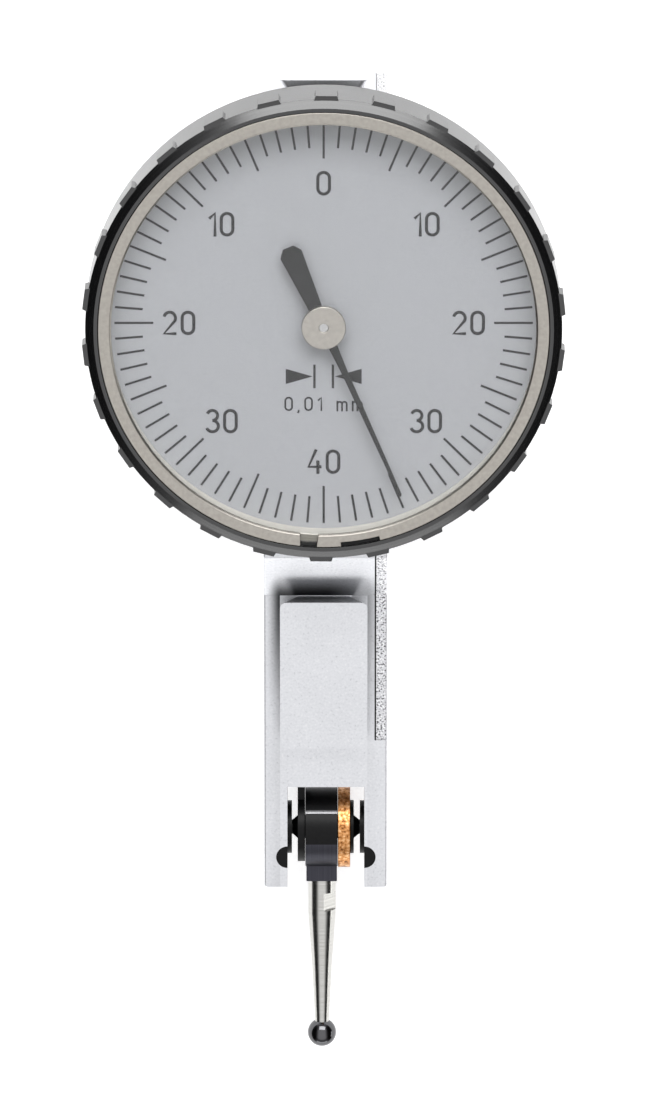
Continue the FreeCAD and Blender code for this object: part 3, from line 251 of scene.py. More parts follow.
def start_finish(name):
    """A new empty material, remembered by the record's slot name, and its node tree."""
    material = bpy.data.materials.new(name)
    material.use_nodes = True
    material.node_tree.nodes.clear()
    finishes[name] = material
    return material.node_tree


def shader(tree, **sockets):
    """The one Principled shader of a finish. Socket names are written with _ for a space."""
    return add_node(tree, "ShaderNodeBsdfPrincipled",
                    {name.replace("_", " "): value for name, value in sockets.items()})


def show(tree, surface):
    """Ends the tree."""
    add_node(tree, "ShaderNodeOutputMaterial", {"Surface": surface.outputs[0]})


def place_of(tree):
    """Where a point lies on the instrument, in metres."""
    return add_node(tree, "ShaderNodeTexCoord").outputs["Object"]


def grain(tree, where, size, detail=2.0, **settings):
    """Cloudy noise whose lumps are about size across."""
    return add_node(tree, "ShaderNodeTexNoise", {"Vector": where, "Scale": 1 / size, "Detail": detail},
                    **settings).outputs["Fac"]


def ramp(tree, value, stops):
    """A colour ramp: stops is a list of (position, sRGB hex)."""
    node = add_node(tree, "ShaderNodeValToRGB", {"Fac": value})
    elements = node.color_ramp.elements
    while len(elements) < len(stops):
        elements.new(0.5)
    for element, (position, colour) in zip(elements, stops):
        element.position = position
        element.color = srgb(colour)
    return node.outputs["Color"]


def spread(tree, value, low, high):
    """Maps 0 to 1 onto low to high."""
    mapped = add_node(tree, "ShaderNodeMapRange", {"Value": value, "To Min": low, "To Max": high})
    return mapped.outputs["Result"]


def bump(tree, height, depth, strength=1.0):
    """A bumped normal: depth is how far, in metres, a height of one stands out."""
    return add_node(tree, "ShaderNodeBump",
                    {"Height": height, "Distance": depth, "Strength": strength}).outputs["Normal"]


def radius_from(tree, where, axis_point, around):
    """The distance from an axis through axis_point along X, Y or Z: what a lathe tool's marks follow."""
    keep = {"X": (0, 1, 1), "Y": (1, 0, 1), "Z": (1, 1, 0)}[around]
    moved = add_node(tree, "ShaderNodeVectorMath", {0: where, 1: axis_point}, operation="SUBTRACT")
    flat = add_node(tree, "ShaderNodeVectorMath", {0: moved.outputs[0], 1: keep}, operation="MULTIPLY")
    return add_node(tree, "ShaderNodeVectorMath", {0: flat.outputs[0]}, operation="LENGTH").outputs["Value"]


def tool_marks(tree, distance, pitch, detail=3.0):
    """Uneven fine lines that follow a distance, one about every pitch."""
    scaled = add_node(tree, "ShaderNodeMath", {0: distance, 1: 1 / pitch}, operation="MULTIPLY").outputs[0]
    return add_node(tree, "ShaderNodeTexNoise", {"W": scaled, "Scale": 1.0, "Detail": detail},
                    noise_dimensions="1D").outputs["Fac"]


def axis_part(tree, where, axis):
    """One coordinate of a place."""
    return add_node(tree, "ShaderNodeSeparateXYZ", {0: where}).outputs[axis]


def math_node(tree, operation, *values):
    """One sum, for a tree's own arithmetic."""
    return add_node(tree, "ShaderNodeMath", dict(enumerate(values)), operation=operation).outputs[0]


def mix_colour(tree, share, first, second):
    """First where share is 0, second where it is 1."""
    return add_node(tree, "ShaderNodeMix", {0: share, 6: first, 7: second}, data_type="RGBA").outputs[2]


def faded(tree, value, start, end, low, high):
    """Goes softly from low at start to high at end."""
    mapped = add_node(tree, "ShaderNodeMapRange",
                      {"Value": value, "From Min": start, "From Max": end, "To Min": low, "To Max": high},
                      interpolation_type="SMOOTHSTEP")
    return mapped.outputs["Result"]


print("finish helpers ready")

# %% [markdown]
# ## Satin chrome on the body
# The body is steel, blasted with fine grit and then plated with matt chrome: nearly white, with a soft
# sparkle and no sharp reflection. Two noises do that. A fine one dents the surface like the grit did, and
# a broad one varies the roughness, as handling does. Where the blast caught a burr the plate is darker,
# so a few dark specks are mixed in. Painted shade darkens the colour in the corner where the rail meets the
# ramp and along the rail's foot. It is strongest towards the dial and on the left, and lies only on the
# dial's side of the body. A distance from the rail's outline draws it.

# %% Satin chrome
BLAST_GRAIN = 0.16 * MM
BLAST_DEPTH = 0.006 * MM
HANDLING_PATCH = 3.0 * MM

PLATE = [(0.24, "CBCCCF"), (0.36, "DDDEE1"), (0.60, "E2E3E6"), (0.74, "EAEAEC")]
RAIL_HALF = 3.0 * MM
RAIL_REAR = -20.97 * MM
RAIL_FRONT = -31.5 * MM
DIAL_SIDE = 7.5 * MM
# The colour of the painted shade beside the rail and above its rear end.
PAINTED_RAIL_SHADE = "19191A"
RAIL_SHADE_REACH = 1.0 * MM
RAMP_STRETCH = 0.45

tree = start_finish("satin_chrome")
where = place_of(tree)
blast = grain(tree, where, BLAST_GRAIN)
patches = grain(tree, where, HANDLING_PATCH, detail=1.0)
along = axis_part(tree, where, "Y")
across = math_node(tree, "ABSOLUTE", axis_part(tree, where, "X"))
aside = math_node(tree, "MAXIMUM", math_node(tree, "SUBTRACT", across, RAIL_HALF), 0.0)
past_rail = math_node(tree, "MAXIMUM", math_node(tree, "SUBTRACT", along, RAIL_REAR), 0.0)
behind = math_node(tree, "MULTIPLY", past_rail, RAMP_STRETCH)
gap = math_node(tree, "SQRT", math_node(tree, "ADD", math_node(tree, "MULTIPLY", aside, aside),
                                        math_node(tree, "MULTIPLY", behind, behind)))
off_rail = math_node(tree, "MAXIMUM", math_node(tree, "GREATER_THAN", across, RAIL_HALF),
                     math_node(tree, "GREATER_THAN", along, RAIL_REAR))
# Painted shade: the colour darkens beside the rail and above its rear end, more towards the dial and on the
# left.
rail_shade = math_node(tree, "MULTIPLY", off_rail, faded(tree, gap, 0.0, RAIL_SHADE_REACH, 0.94, 0.0))
rail_shade = math_node(tree, "MULTIPLY", rail_shade, faded(tree, along, RAIL_FRONT, RAIL_REAR, 0.12, 1.0))
rail_shade = math_node(tree, "MULTIPLY", rail_shade, faded(tree, axis_part(tree, where, "X"), 0.0, RAIL_HALF, 1.0, 0.5))
on_dial_side = math_node(tree, "GREATER_THAN", axis_part(tree, where, "Z"), DIAL_SIDE)
rail_shade = math_node(tree, "MULTIPLY", rail_shade, on_dial_side)
colour = mix_colour(tree, rail_shade, ramp(tree, blast, PLATE), srgb(PAINTED_RAIL_SHADE))
show(tree, shader(tree, Base_Color=colour, Metallic=1.0, Roughness=spread(tree, patches, 0.34, 0.46),
                  Normal=bump(tree, blast, BLAST_DEPTH, 0.4)))
print("satin chrome: grain", BLAST_GRAIN / MM, "mm")

# %% [markdown]
# The side cover is stamped from sheet. Its broad face is blasted and plated like the body, but its edge
# kept the torn grain of the stamping under the plate. The black and white speckle on the edge is that grain
# with its sparkle painted into the colour as painted glints. The edge is whatever faces up or forward, and
# the normal in the object's own space tells it apart.

# %% Satin chrome with a stamped edge
TORN_GRAIN = 0.13 * MM

tree = start_finish("stamped_chrome")
where = place_of(tree)
blast = grain(tree, where, BLAST_GRAIN)
torn = grain(tree, where, TORN_GRAIN, detail=1.0)
facing = add_node(tree, "ShaderNodeSeparateXYZ", {0: add_node(tree, "ShaderNodeTexCoord").outputs["Normal"]})
sideways = add_node(tree, "ShaderNodeMath", {0: facing.outputs["X"]}, operation="ABSOLUTE").outputs[0]
edge = add_node(tree, "ShaderNodeMath", {0: sideways, 1: 0.5}, operation="LESS_THAN").outputs[0]
face_colour = ramp(tree, blast, PLATE)
# Painted glints: the edge's colour runs in specks from dark grey to pure white.
edge_grain_and_glints = ramp(tree, torn, [(0.37, "5A5A5C"), (0.43, "D6D6D9"), (0.60, "E6E6E8"), (0.68, "FFFFFF")])
show(tree, shader(tree, Base_Color=mix_colour(tree, edge, face_colour, edge_grain_and_glints), Metallic=1.0,
                  Roughness=0.42, Normal=bump(tree, torn, 0.004 * MM, 0.5)))

# %% [markdown]
# ## Black anodised aluminium on the bezel
# The knurled ring is turned aluminium, anodised black. Anodising is a glassy oxide full of dye, so it is
# a dark dielectric rather than a metal: black when faced, and bright when seen along its side, where the
# oxide mirrors the room. The lathe's lines show under it.

# %% Black anodised aluminium
OXIDE_IOR = 1.77

tree = start_finish("black_anodised")
where = place_of(tree)
around = radius_from(tree, where, (0, 0, 0), "Z")
lines = tool_marks(tree, around, 0.12 * MM)
dust = grain(tree, where, 0.25 * MM)
show(tree, shader(tree, Base_Color=ramp(tree, dust, [(0.3, "060607"), (0.8, "0D0D0E")]), Metallic=0.0,
                  Roughness=spread(tree, lines, 0.15, 0.25), IOR=OXIDE_IOR,
                  Normal=bump(tree, lines, 0.004 * MM, 0.3)))

# %% [markdown]
# ## Satin nickel on the rings and the hub
# The retaining ring, the sloped ring round the dial and the pointer's hub are brass, turned and nickel
# plated. Nickel is a little yellow beside chrome. The tool's lines run round the dial's axis, and because
# all of these pieces are centred there, one distance from that axis draws them all.

# %% Satin nickel
tree = start_finish("satin_nickel")
where = place_of(tree)
around = radius_from(tree, where, (0, 0, 0), "Z")
lines = tool_marks(tree, around, 0.10 * MM)
haze = grain(tree, where, 0.3 * MM)
show(tree, shader(tree, Base_Color=ramp(tree, haze, [(0.3, "A7A29B"), (0.7, "B3AFA7")]), Metallic=1.0,
                  Roughness=spread(tree, lines, 0.28, 0.42), Normal=bump(tree, lines, 0.003 * MM, 0.5)))

# %% [markdown]
# The sloped ring that fills the space between crystal and dial is silvered instead: brushed with tin
# white, so that it scatters light onto the scale. It is matt and creamy, nearly a paint.

# %% Silvered white
tree = start_finish("silvered_white")
where = place_of(tree)
around = radius_from(tree, where, (0, 0, 0), "Z")
lines = tool_marks(tree, around, 0.12 * MM)
show(tree, shader(tree, Base_Color=ramp(tree, lines, [(0.3, "C4C1B8"), (0.7, "D0CDC4")]), Metallic=0.35,
                  Roughness=spread(tree, lines, 0.38, 0.52), IOR=1.5,
                  Normal=bump(tree, lines, 0.003 * MM, 0.4)))

# %% [markdown]
# ## The dial's enamel
# The dial is a brass plate, silvered and sprayed with a matt bluish grey lacquer. Its grain is very fine,
# and it is a paint, so it has the usual lacquer IOR and no metal.

# %% Dial lacquer
tree = start_finish("dial_enamel")
where = place_of(tree)
mist = grain(tree, where, 0.18 * MM, detail=3.0)
show(tree, shader(tree, Base_Color=ramp(tree, mist, [(0.3, "94969A"), (0.7, "9B9DA1")]), Metallic=0.0,
                  Roughness=0.55, IOR=1.5, Normal=bump(tree, mist, 0.003 * MM, 0.3)))

# %% [markdown]
# ## The crystal
# The window is acrylic, 0.4 mm thick. A lamp's rays would stop at bent glass and leave the dial dark, so
# rays on their way to a lamp pass straight through, and every other ray meets real acrylic. Its faces are
# bloomed against reflections, so that the scale can be read under a lamp.

# %% Acrylic crystal
ACRYLIC_IOR = 1.49
tree = start_finish("crystal")
acrylic = shader(tree, Base_Color=srgb("FFFFFF"), Roughness=0.0, IOR=ACRYLIC_IOR, Specular_IOR_Level=0.12,
                 Transmission_Weight=1.0)
clear = add_node(tree, "ShaderNodeBsdfTransparent")
path = add_node(tree, "ShaderNodeLightPath")
show(tree, add_node(tree, "ShaderNodeMixShader",
                    {0: path.outputs["Is Shadow Ray"], 1: acrylic.outputs[0], 2: clear.outputs[0]}))

# %% [markdown]
# ## Ink and the blackened pointer
# The scale is pad printed in black ink, which dries dull and a shade lighter than black. The pointer is
# thin sheet with a matt black lacquer, lightly scuffed.

# %% Printing ink and pointer black
tree = start_finish("printing_ink")
where = place_of(tree)
drying = grain(tree, where, 0.1 * MM)
show(tree, shader(tree, Base_Color=ramp(tree, drying, [(0.3, "08090B"), (0.7, "101114")]), IOR=1.5,
                  Roughness=0.55, Specular_IOR_Level=0.1))

tree = start_finish("pointer_black")
where = place_of(tree)
scuff = grain(tree, where, 0.12 * MM)
show(tree, shader(tree, Base_Color=ramp(tree, scuff, [(0.3, "0C0D0E"), (0.7, "151617")]), IOR=1.5,
                  Roughness=spread(tree, scuff, 0.45, 0.60), Specular_IOR_Level=0.1,
                  Normal=bump(tree, scuff, 0.003 * MM, 0.4)))

# %% [markdown]
# ## Black oxide, and painted light on the stylus holder
# The lever and the bushes are steel blackened in a hot salt bath. The oxide is a thin black skin with the
# dull shine of an oiled stone, so it is treated as a dark paint with a weak reflection. The stylus holder
# wears the same skin. The front of its drum, in front of a line across it, and the neck are painted grey
# and nearly metallic: a painted reflection of a bright horizon in the cylinder. The bottom of the clamping
# slit is painted brightest: a painted highlight. A distance from the pivot's axis and a line across the
# drum sort the three.

# %% Black oxide, and the holder's three surfaces
PIVOT = (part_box("pivot_shaft")[0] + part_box("pivot_shaft")[1]) / 2
DRUM_RADIUS = (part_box("stylus_holder")[1].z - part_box("stylus_holder")[0].z) / 2
SKIN = 0.06 * MM
SLIT_DEPTH = 0.3 * MM
REFLECTION_LINE = PIVOT.y - 0.42 * MM
OXIDE = [(0.3, "060607"), (0.7, "0D0D0E")]

tree = start_finish("blackened_steel")
where = place_of(tree)
oxide = grain(tree, where, 0.2 * MM)
show(tree, shader(tree, Base_Color=ramp(tree, oxide, OXIDE), IOR=1.5, Specular_IOR_Level=0.18,
                  Roughness=spread(tree, oxide, 0.34, 0.48), Normal=bump(tree, oxide, 0.003 * MM, 0.4)))


tree = start_finish("grey_steel")
where = place_of(tree)
out = radius_from(tree, where, PIVOT, "X")
grind = tool_marks(tree, axis_part(tree, where, "X"), 0.10 * MM)
black = ramp(tree, grain(tree, where, 0.2 * MM), OXIDE)
# A painted reflection on the drum's front and neck, and a painted highlight at the bottom of the slit.
front_reflection = ramp(tree, grind, [(0.3, "3B3B42"), (0.7, "47474E")])
slit_highlight = ramp(tree, grind, [(0.3, "9A9A9C"), (0.7, "B4B4B6")])
in_front = math_node(tree, "LESS_THAN", axis_part(tree, where, "Y"), REFLECTION_LINE)
below_skin = math_node(tree, "LESS_THAN", out, DRUM_RADIUS - SKIN)
deep = math_node(tree, "LESS_THAN", out, DRUM_RADIUS - SLIT_DEPTH)
painted_light_zones = math_node(tree, "MAXIMUM", in_front, below_skin)
elsewhere = math_node(tree, "MAXIMUM", deep, in_front)
in_slit = math_node(tree, "MULTIPLY", below_skin, math_node(tree, "SUBTRACT", 1.0, elsewhere))
colour = mix_colour(tree, in_slit, mix_colour(tree, painted_light_zones, black, front_reflection), slit_highlight)
show(tree, shader(tree, Base_Color=colour, Metallic=spread(tree, painted_light_zones, 0.0, 0.9), IOR=1.5,
                  Specular_IOR_Level=0.18, Roughness=spread(tree, grind, 0.32, 0.44),
                  Normal=bump(tree, grind, 0.002 * MM, 0.3)))

# %% [markdown]
# ## Polished steel and carbide
# The stylus is hardened steel, ground to its taper and polished round its axis; its ball is tungsten
# carbide, lapped to a mirror. Screws are turned and lightly polished.

# %% Stylus, ball and screws
tree = start_finish("polished_steel")
where = place_of(tree)
lines = tool_marks(tree, axis_part(tree, where, "Y"), 0.14 * MM, detail=4.0)
show(tree, shader(tree, Base_Color=ramp(tree, lines, [(0.3, "BAB9B5"), (0.7, "C8C7C3")]), Metallic=1.0,
                  Roughness=spread(tree, lines, 0.14, 0.24), Normal=bump(tree, lines, 0.0006 * MM, 0.25)))

tree = start_finish("carbide")
where = place_of(tree)
lap = grain(tree, where, 0.15 * MM)
show(tree, shader(tree, Base_Color=srgb("5E5E60"), Metallic=1.0, Roughness=spread(tree, lap, 0.06, 0.14)))

tree = start_finish("screw_steel")
where = place_of(tree)
polish = grain(tree, where, 0.12 * MM)
show(tree, shader(tree, Base_Color=ramp(tree, polish, [(0.3, "B4B4B4"), (0.7, "C4C4C4")]), Metallic=1.0,
                  Roughness=spread(tree, polish, 0.18, 0.32)))

# %% [markdown]
# ## Copper, brass, bronze, ruby and rubber
# The friction disc is copper, mottled where it has rubbed and tarnished. The movement inside is lacquered
# brass with a turned grain, its springs are bronze, its bearings are synthetic ruby, and a rubber ring
# seals the crystal.

# %% The warm metals and the small finishes
tree = start_finish("copper")
where = place_of(tree)
mottle = grain(tree, where, 0.22 * MM, detail=4.0)
show(tree, shader(tree, Base_Color=ramp(tree, mottle, [(0.30, "5A3319"), (0.42, "B87B45"), (0.55, "DFA268"),
                                                       (0.72, "FBD5A5")]), Metallic=0.9,
                  Roughness=spread(tree, mottle, 0.55, 0.25), Normal=bump(tree, mottle, 0.02 * MM, 0.6)))

for name, dark, light, roughness in [("movement_brass", "B08D48", "C8A75E", 0.28),
                                     ("spring_bronze", "A07A4A", "B98F5C", 0.30)]:
    tree = start_finish(name)
    where = place_of(tree)
    turned = tool_marks(tree, axis_part(tree, where, "Z"), 0.10 * MM)
    show(tree, shader(tree, Base_Color=ramp(tree, turned, [(0.3, dark), (0.7, light)]), Metallic=1.0,
                      Roughness=spread(tree, turned, roughness - 0.06, roughness + 0.08),
                      Normal=bump(tree, turned, 0.002 * MM, 0.4)))

tree = start_finish("ruby")
where = place_of(tree)
cloud = grain(tree, where, 0.4 * MM)
show(tree, shader(tree, Base_Color=ramp(tree, cloud, [(0.3, "A80F2A"), (0.7, "C81C3C")]), Roughness=0.05,
                  IOR=1.77, Transmission_Weight=0.5))

tree = start_finish("gasket_rubber")
where = place_of(tree)
bloom = grain(tree, where, 0.2 * MM)
show(tree, shader(tree, Base_Color=ramp(tree, bloom, [(0.3, "151515"), (0.7, "222222")]), IOR=1.52,
                  Roughness=spread(tree, bloom, 0.6, 0.75), Normal=bump(tree, bloom, 0.005 * MM, 0.4)))

own_finish = {"side_cover": "stamped_chrome", "rehaut_ring": "silvered_white"}
for name, node in frame["nodes"].items():
    node.data.materials.clear()
    node.data.materials.append(finishes[own_finish.get(name, slot_of[name])])
print(len(finishes), "finishes on", len(frame["nodes"]), "nodes")

# %% [markdown]
# ## Broken edges
# CAD leaves every edge as sharp as a knife, and no machined part has such edges: a fitter files them, or
# they are tumbled, and the plating rounds them further. The thin bright line along a real edge is that
# rounding mirroring the room. A copy of each outer piece therefore gets a narrow bevel. The copy is
# merged first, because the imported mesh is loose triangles, and its flat areas are joined again so that
# the bevel meets clean corners.

# %% Soften the edges of the outer pieces
EDGE_BREAK = {"housing": 0.10 * MM, "side_cover": 0.08 * MM, "grip_ring": 0.07 * MM,
              "retaining_ring": 0.05 * MM, "rehaut_ring": 0.05 * MM, "pointer_hub": 0.06 * MM,
              "stylus_holder": 0.06 * MM,
              "friction_disc": 0.05 * MM, "clutch_washer": 0.04 * MM, "measuring_lever": 0.04 * MM}
SHARP = math.radians(24)
BEVEL_STEPS = 2


def softened(node, width):
    """A merged copy of a CAD node with narrow rounded edges, which stands for it."""
    source = frame["nodes"][node]
    work = bmesh.new()
    work.from_mesh(source.data)
    bmesh.ops.remove_doubles(work, verts=work.verts, dist=0.0005 * MM)
    bmesh.ops.dissolve_limit(work, angle_limit=math.radians(0.4), verts=work.verts, edges=work.edges)
    for face in work.faces:
        face.smooth = True
    mesh = bpy.data.meshes.new(node + "_edged")
    work.to_mesh(mesh)
    work.free()
    if "custom_normal" in mesh.attributes:
        mesh.attributes.remove(mesh.attributes["custom_normal"])
    mesh.materials.append(source.data.materials[0])
    rough = bpy.data.objects.new(node + "_rough", mesh)
    scene.collection.objects.link(rough)
    bevel = rough.modifiers.new("edge", "BEVEL")
    bevel.width = width
    bevel.segments = BEVEL_STEPS
    bevel.limit_method = "ANGLE"
    bevel.angle_limit = SHARP
    bevel.harden_normals = True
    finished = bpy.data.meshes.new_from_object(rough.evaluated_get(bpy.context.evaluated_depsgraph_get()))
    bpy.data.objects.remove(rough)
    piece = bpy.data.objects.new(node + "_finished", finished)
    scene.collection.objects.link(piece)
    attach(piece, source["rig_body"])
    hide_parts(node)
    print(piece.name, len(finished.polygons), "faces")


for node, width in EDGE_BREAK.items():
    softened(node, width)

# %% [markdown]
# ## Growing pieces with Geometry Nodes
# What repeats or follows a path is grown by a node tree, written here like everything else. A tree has
# named inputs for its sizes. It ends by turning its instances into plain mesh and giving them their
# finish, because an exported model has no instances. Then the modifier goes and only the mesh is kept.

# %% Helpers for node trees
def new_tree(name, inputs):
    """A Geometry Nodes tree with named inputs: (name, socket kind, default)."""
    tree = bpy.data.node_groups.new(name, "GeometryNodeTree")
    tree.interface.new_socket("Geometry", in_out="INPUT", socket_type="NodeSocketGeometry")
    for title, kind, default in inputs:
        socket = tree.interface.new_socket(title, in_out="INPUT", socket_type=kind)
        if default is not None:
            socket.default_value = default
    tree.interface.new_socket("Geometry", in_out="OUTPUT", socket_type="NodeSocketGeometry")
    return tree, add_node(tree, "NodeGroupInput").outputs


def end_tree(tree, geometry, material):
    """Turns instances into real mesh, gives it its material and ends the tree."""
    real = add_node(tree, "GeometryNodeRealizeInstances", {0: geometry})
    coated = add_node(tree, "GeometryNodeSetMaterial", {"Geometry": real.outputs[0], "Material": material})
    add_node(tree, "NodeGroupOutput", {0: coated.outputs[0]})


def grow(name, tree, values, start=None):
    """Runs a tree once and returns its plain mesh as an object at the origin."""
    seed = start or bpy.data.objects.new(name + "_seed", bpy.data.meshes.new(name + "_seed"))
    scene.collection.objects.link(seed)
    modifier = seed.modifiers.new("grow", "NODES")
    modifier.node_group = tree
    for item in tree.interface.items_tree:
        if item.in_out == "INPUT" and item.name in values:
            modifier[item.identifier] = values[item.name]
    graph = bpy.context.evaluated_depsgraph_get()
    mesh = bpy.data.meshes.new_from_object(seed.evaluated_get(graph))
    seed.modifiers.remove(modifier)
    bpy.data.objects.remove(seed)
    mesh.name = name
    piece = bpy.data.objects.new(name, mesh)
    scene.collection.objects.link(piece)
    return piece


print("tree helpers ready")

# %% [markdown]
# ## The seam round the side cover
# A hair of black bead fills the groove where the side cover meets the housing: painted shade for the dark
# gap of the seam. The seam follows the rim of the cover's inner face, so its path is read from the cover
# itself: the longest loop of edges between that face and its sides. A small tree sweeps a round bead along
# it.

# %% A bead along a path
SEAM_BEAD = 0.055 * MM

beads, given = new_tree("bead_along_path", [
    ("Bead radius", "NodeSocketFloat", SEAM_BEAD), ("Sides", "NodeSocketInt", 8),
    ("Material", "NodeSocketMaterial", None)])
path = add_node(beads, "GeometryNodeMeshToCurve", {"Mesh": given["Geometry"]})
section = add_node(beads, "GeometryNodeCurvePrimitiveCircle",
                   {"Resolution": given["Sides"], "Radius": given["Bead radius"]}, mode="RADIUS")
tube = add_node(beads, "GeometryNodeCurveToMesh",
                {"Curve": path.outputs[0], "Profile Curve": section.outputs[0]})
end_tree(beads, tube.outputs[0], given["Material"])


def rim_of(node, x):
    """The longest loop of a node's edges that lie in the plane at x and border a face turned away from it."""
    work = bmesh.new()
    work.from_mesh(frame["nodes"][node].data)
    bmesh.ops.remove_doubles(work, verts=work.verts, dist=0.0005 * MM)
    rim = [edge for edge in work.edges
           if all(abs(vertex.co.x - x) < 0.001 * MM for vertex in edge.verts)
           and any(abs(face.normal.x) < 0.9 for face in edge.link_faces)]
    loops = []
    while rim:
        loop = [rim.pop()]
        grown = True
        while grown:
            ends = {vertex for edge in loop for vertex in edge.verts}
            more = [edge for edge in rim if ends & set(edge.verts)]
            loop += more
            rim = [edge for edge in rim if edge not in more]
            grown = bool(more)
        loops.append(loop)
    longest = max(loops, key=lambda loop: sum(edge.calc_length() for edge in loop))
    spots = list({vertex for edge in longest for vertex in edge.verts})
    number = {vertex: at for at, vertex in enumerate(spots)}
    mesh = bpy.data.meshes.new(node + "_rim")
    mesh.from_pydata([tuple(vertex.co) for vertex in spots],
                     [tuple(number[vertex] for vertex in edge.verts) for edge in longest], [])
    work.free()
    return mesh


inner_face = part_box("side_cover")[0].x
seam_seed = bpy.data.objects.new("seam_path", rim_of("side_cover", inner_face))
# A black bead in the seam: painted shade for the dark gap between cover and housing.
seam_shade = grow("cover_seam", beads, {"Material": finishes["gasket_rubber"]}, seam_seed)
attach(seam_shade, "case")
print("seam:", len(seam_shade.data.polygons), "faces")

# %% [markdown]
# ## The scale on the dial
# Eighty lines go round the dial, one every 4.5 degrees. Each is the same small bar of ink, so Geometry
# Nodes make them: a circle of points, a bar on each point, turned to face the centre. Every fifth line is
# longer, and a second pass of the same tree with its own length draws those. Named inputs hold the sizes,
# so one tree serves both passes.

# %% A Geometry Nodes tree for bars round a circle
INK_THICKNESS = 0.012 * MM
LINES = 80
LINES_PER_GROUP = 5
LINE_WIDTH = 0.155 * MM
SCALE_OUTER = 14.16 * MM
SCALE_INNER = 12.28 * MM
SCALE_LONG_INNER = 11.53 * MM
INK_Z = dial_face


def combine(tree, x=0.0, y=0.0, z=0.0):
    """Three numbers as a vector."""
    return add_node(tree, "ShaderNodeCombineXYZ", {0: x, 1: y, 2: z}).outputs[0]


bars, given = new_tree("bars_round_a_circle", [
    ("Count", "NodeSocketInt", LINES), ("Inner radius", "NodeSocketFloat", SCALE_INNER),
    ("Outer radius", "NodeSocketFloat", SCALE_OUTER), ("Line width", "NodeSocketFloat", LINE_WIDTH),
    ("Ink thickness", "NodeSocketFloat", INK_THICKNESS), ("Height", "NodeSocketFloat", INK_Z),
    ("Skip every", "NodeSocketInt", 0), ("Material", "NodeSocketMaterial", None)])
index = add_node(bars, "GeometryNodeInputIndex").outputs[0]
step = math_node(bars, "DIVIDE", 2 * math.pi, given["Count"])
angle = math_node(bars, "MULTIPLY", index, step)
both_radii = math_node(bars, "ADD", given["Inner radius"], given["Outer radius"])
middle = math_node(bars, "MULTIPLY", both_radii, 0.5)
half_ink = math_node(bars, "MULTIPLY", given["Ink thickness"], 0.5)
spot = combine(bars, math_node(bars, "MULTIPLY", middle, math_node(bars, "SINE", angle)),
               math_node(bars, "MULTIPLY", middle, math_node(bars, "COSINE", angle)),
               math_node(bars, "ADD", given["Height"], half_ink))
points = add_node(bars, "GeometryNodePoints", {"Count": given["Count"], "Position": spot})
remainder = math_node(bars, "MODULO", index, given["Skip every"])
skipped = add_node(bars, "ShaderNodeMath", {0: remainder, 1: 0.0, 2: 0.1}, operation="COMPARE").outputs[0]
wanted = math_node(bars, "MULTIPLY", skipped, math_node(bars, "GREATER_THAN", given["Skip every"], 0.5))
kept = add_node(bars, "GeometryNodeDeleteGeometry", {"Geometry": points.outputs[0], "Selection": wanted})
bar = add_node(bars, "GeometryNodeMeshCube", {"Size": combine(
    bars, given["Line width"], math_node(bars, "SUBTRACT", given["Outer radius"], given["Inner radius"]),
    given["Ink thickness"])})
here = add_node(bars, "GeometryNodeInputPosition").outputs[0]
facing = math_node(bars, "ARCTAN2", axis_part(bars, here, "X"), axis_part(bars, here, "Y"))
turned = combine(bars, 0.0, 0.0, math_node(bars, "MULTIPLY", facing, -1.0))
placed = add_node(bars, "GeometryNodeInstanceOnPoints",
                  {"Points": kept.outputs[0], "Instance": bar.outputs[0], "Rotation": turned})
end_tree(bars, placed.outputs[0], given["Material"])

graduations = grow("dial_graduations", bars, {
    "Skip every": LINES_PER_GROUP, "Material": finishes["printing_ink"]})
long_graduations = grow("dial_long_graduations", bars, {
    "Count": LINES // LINES_PER_GROUP, "Inner radius": SCALE_LONG_INNER,
    "Material": finishes["printing_ink"]})
for piece in (graduations, long_graduations):
    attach(piece, "bezel")
    print(piece.name, len(piece.data.polygons) // 6, "bars")

# %% [markdown]
# ## Numerals
# A gauge's numerals are drawn with a pen of one width, so each is a line, not an outline. A numeral is
# written here as a few straight runs and arcs, and Geometry Nodes sweep the pen's flat section along
# them. The ends stay square, as in the technical lettering that such dials carry.

# %% Strokes of one pen width
PEN = 0.21 * MM


def arc(centre_x, centre_y, radius_x, radius_y, start, end, steps=14):
    """Points along part of an ellipse, from start to end degrees, anticlockwise when end is larger."""
    turns = [math.radians(start + (end - start) * at / steps) for at in range(steps + 1)]
    return [(centre_x + radius_x * math.cos(t), centre_y + radius_y * math.sin(t)) for t in turns]


def glyph_lines(letter):
    """A letter's pen lines, in a cell one high, and its width. A line is (points, closed)."""
    if letter == "0":
        wide = 0.52
        half = wide / 2
        return [(arc(half, 1 - half, half, half, 0, 180) + arc(half, half, half, half, 180, 360), True)], wide
    if letter == "1":
        return [([(0.0, 0.76), (0.26, 1.0), (0.26, -0.07)], False)], 0.26
    if letter == "2":
        return [(arc(0.26, 0.72, 0.26, 0.28, 165, -25) + [(0.0, 0.0), (0.56, 0.0)], False)], 0.54
    if letter == "3":
        upper = arc(0.25, 0.765, 0.235, 0.235, 160, -90)
        lower = arc(0.25, 0.265, 0.27, 0.265, 90, -160)
        return [(upper, False), (lower, False)], 0.52
    if letter == "4":
        corner = [(0.34, 1.07), (0.0, 0.26), (0.58, 0.26)]
        stem = [(0.42, 0.55), (0.42, -0.07)]
        return [(corner, False), (stem, False)], 0.56
    if letter == "m":
        tall, wide = 0.66, 0.36
        left = [(0.0, -0.1), (0.0, tall + 0.08)]
        first = arc(wide / 2, tall - wide / 2, wide / 2, wide / 2, 180, 0) + [(wide, -0.1)]
        second = arc(wide * 1.5, tall - wide / 2, wide / 2, wide / 2, 180, 0) + [(2 * wide, -0.1)]
        return [(left, False), (first, False), (second, False)], 2 * wide
    if letter == ",":
        return [([(0.06, 0.02), (0.0, -0.24)], False)], 0.08
    return [], 0.30


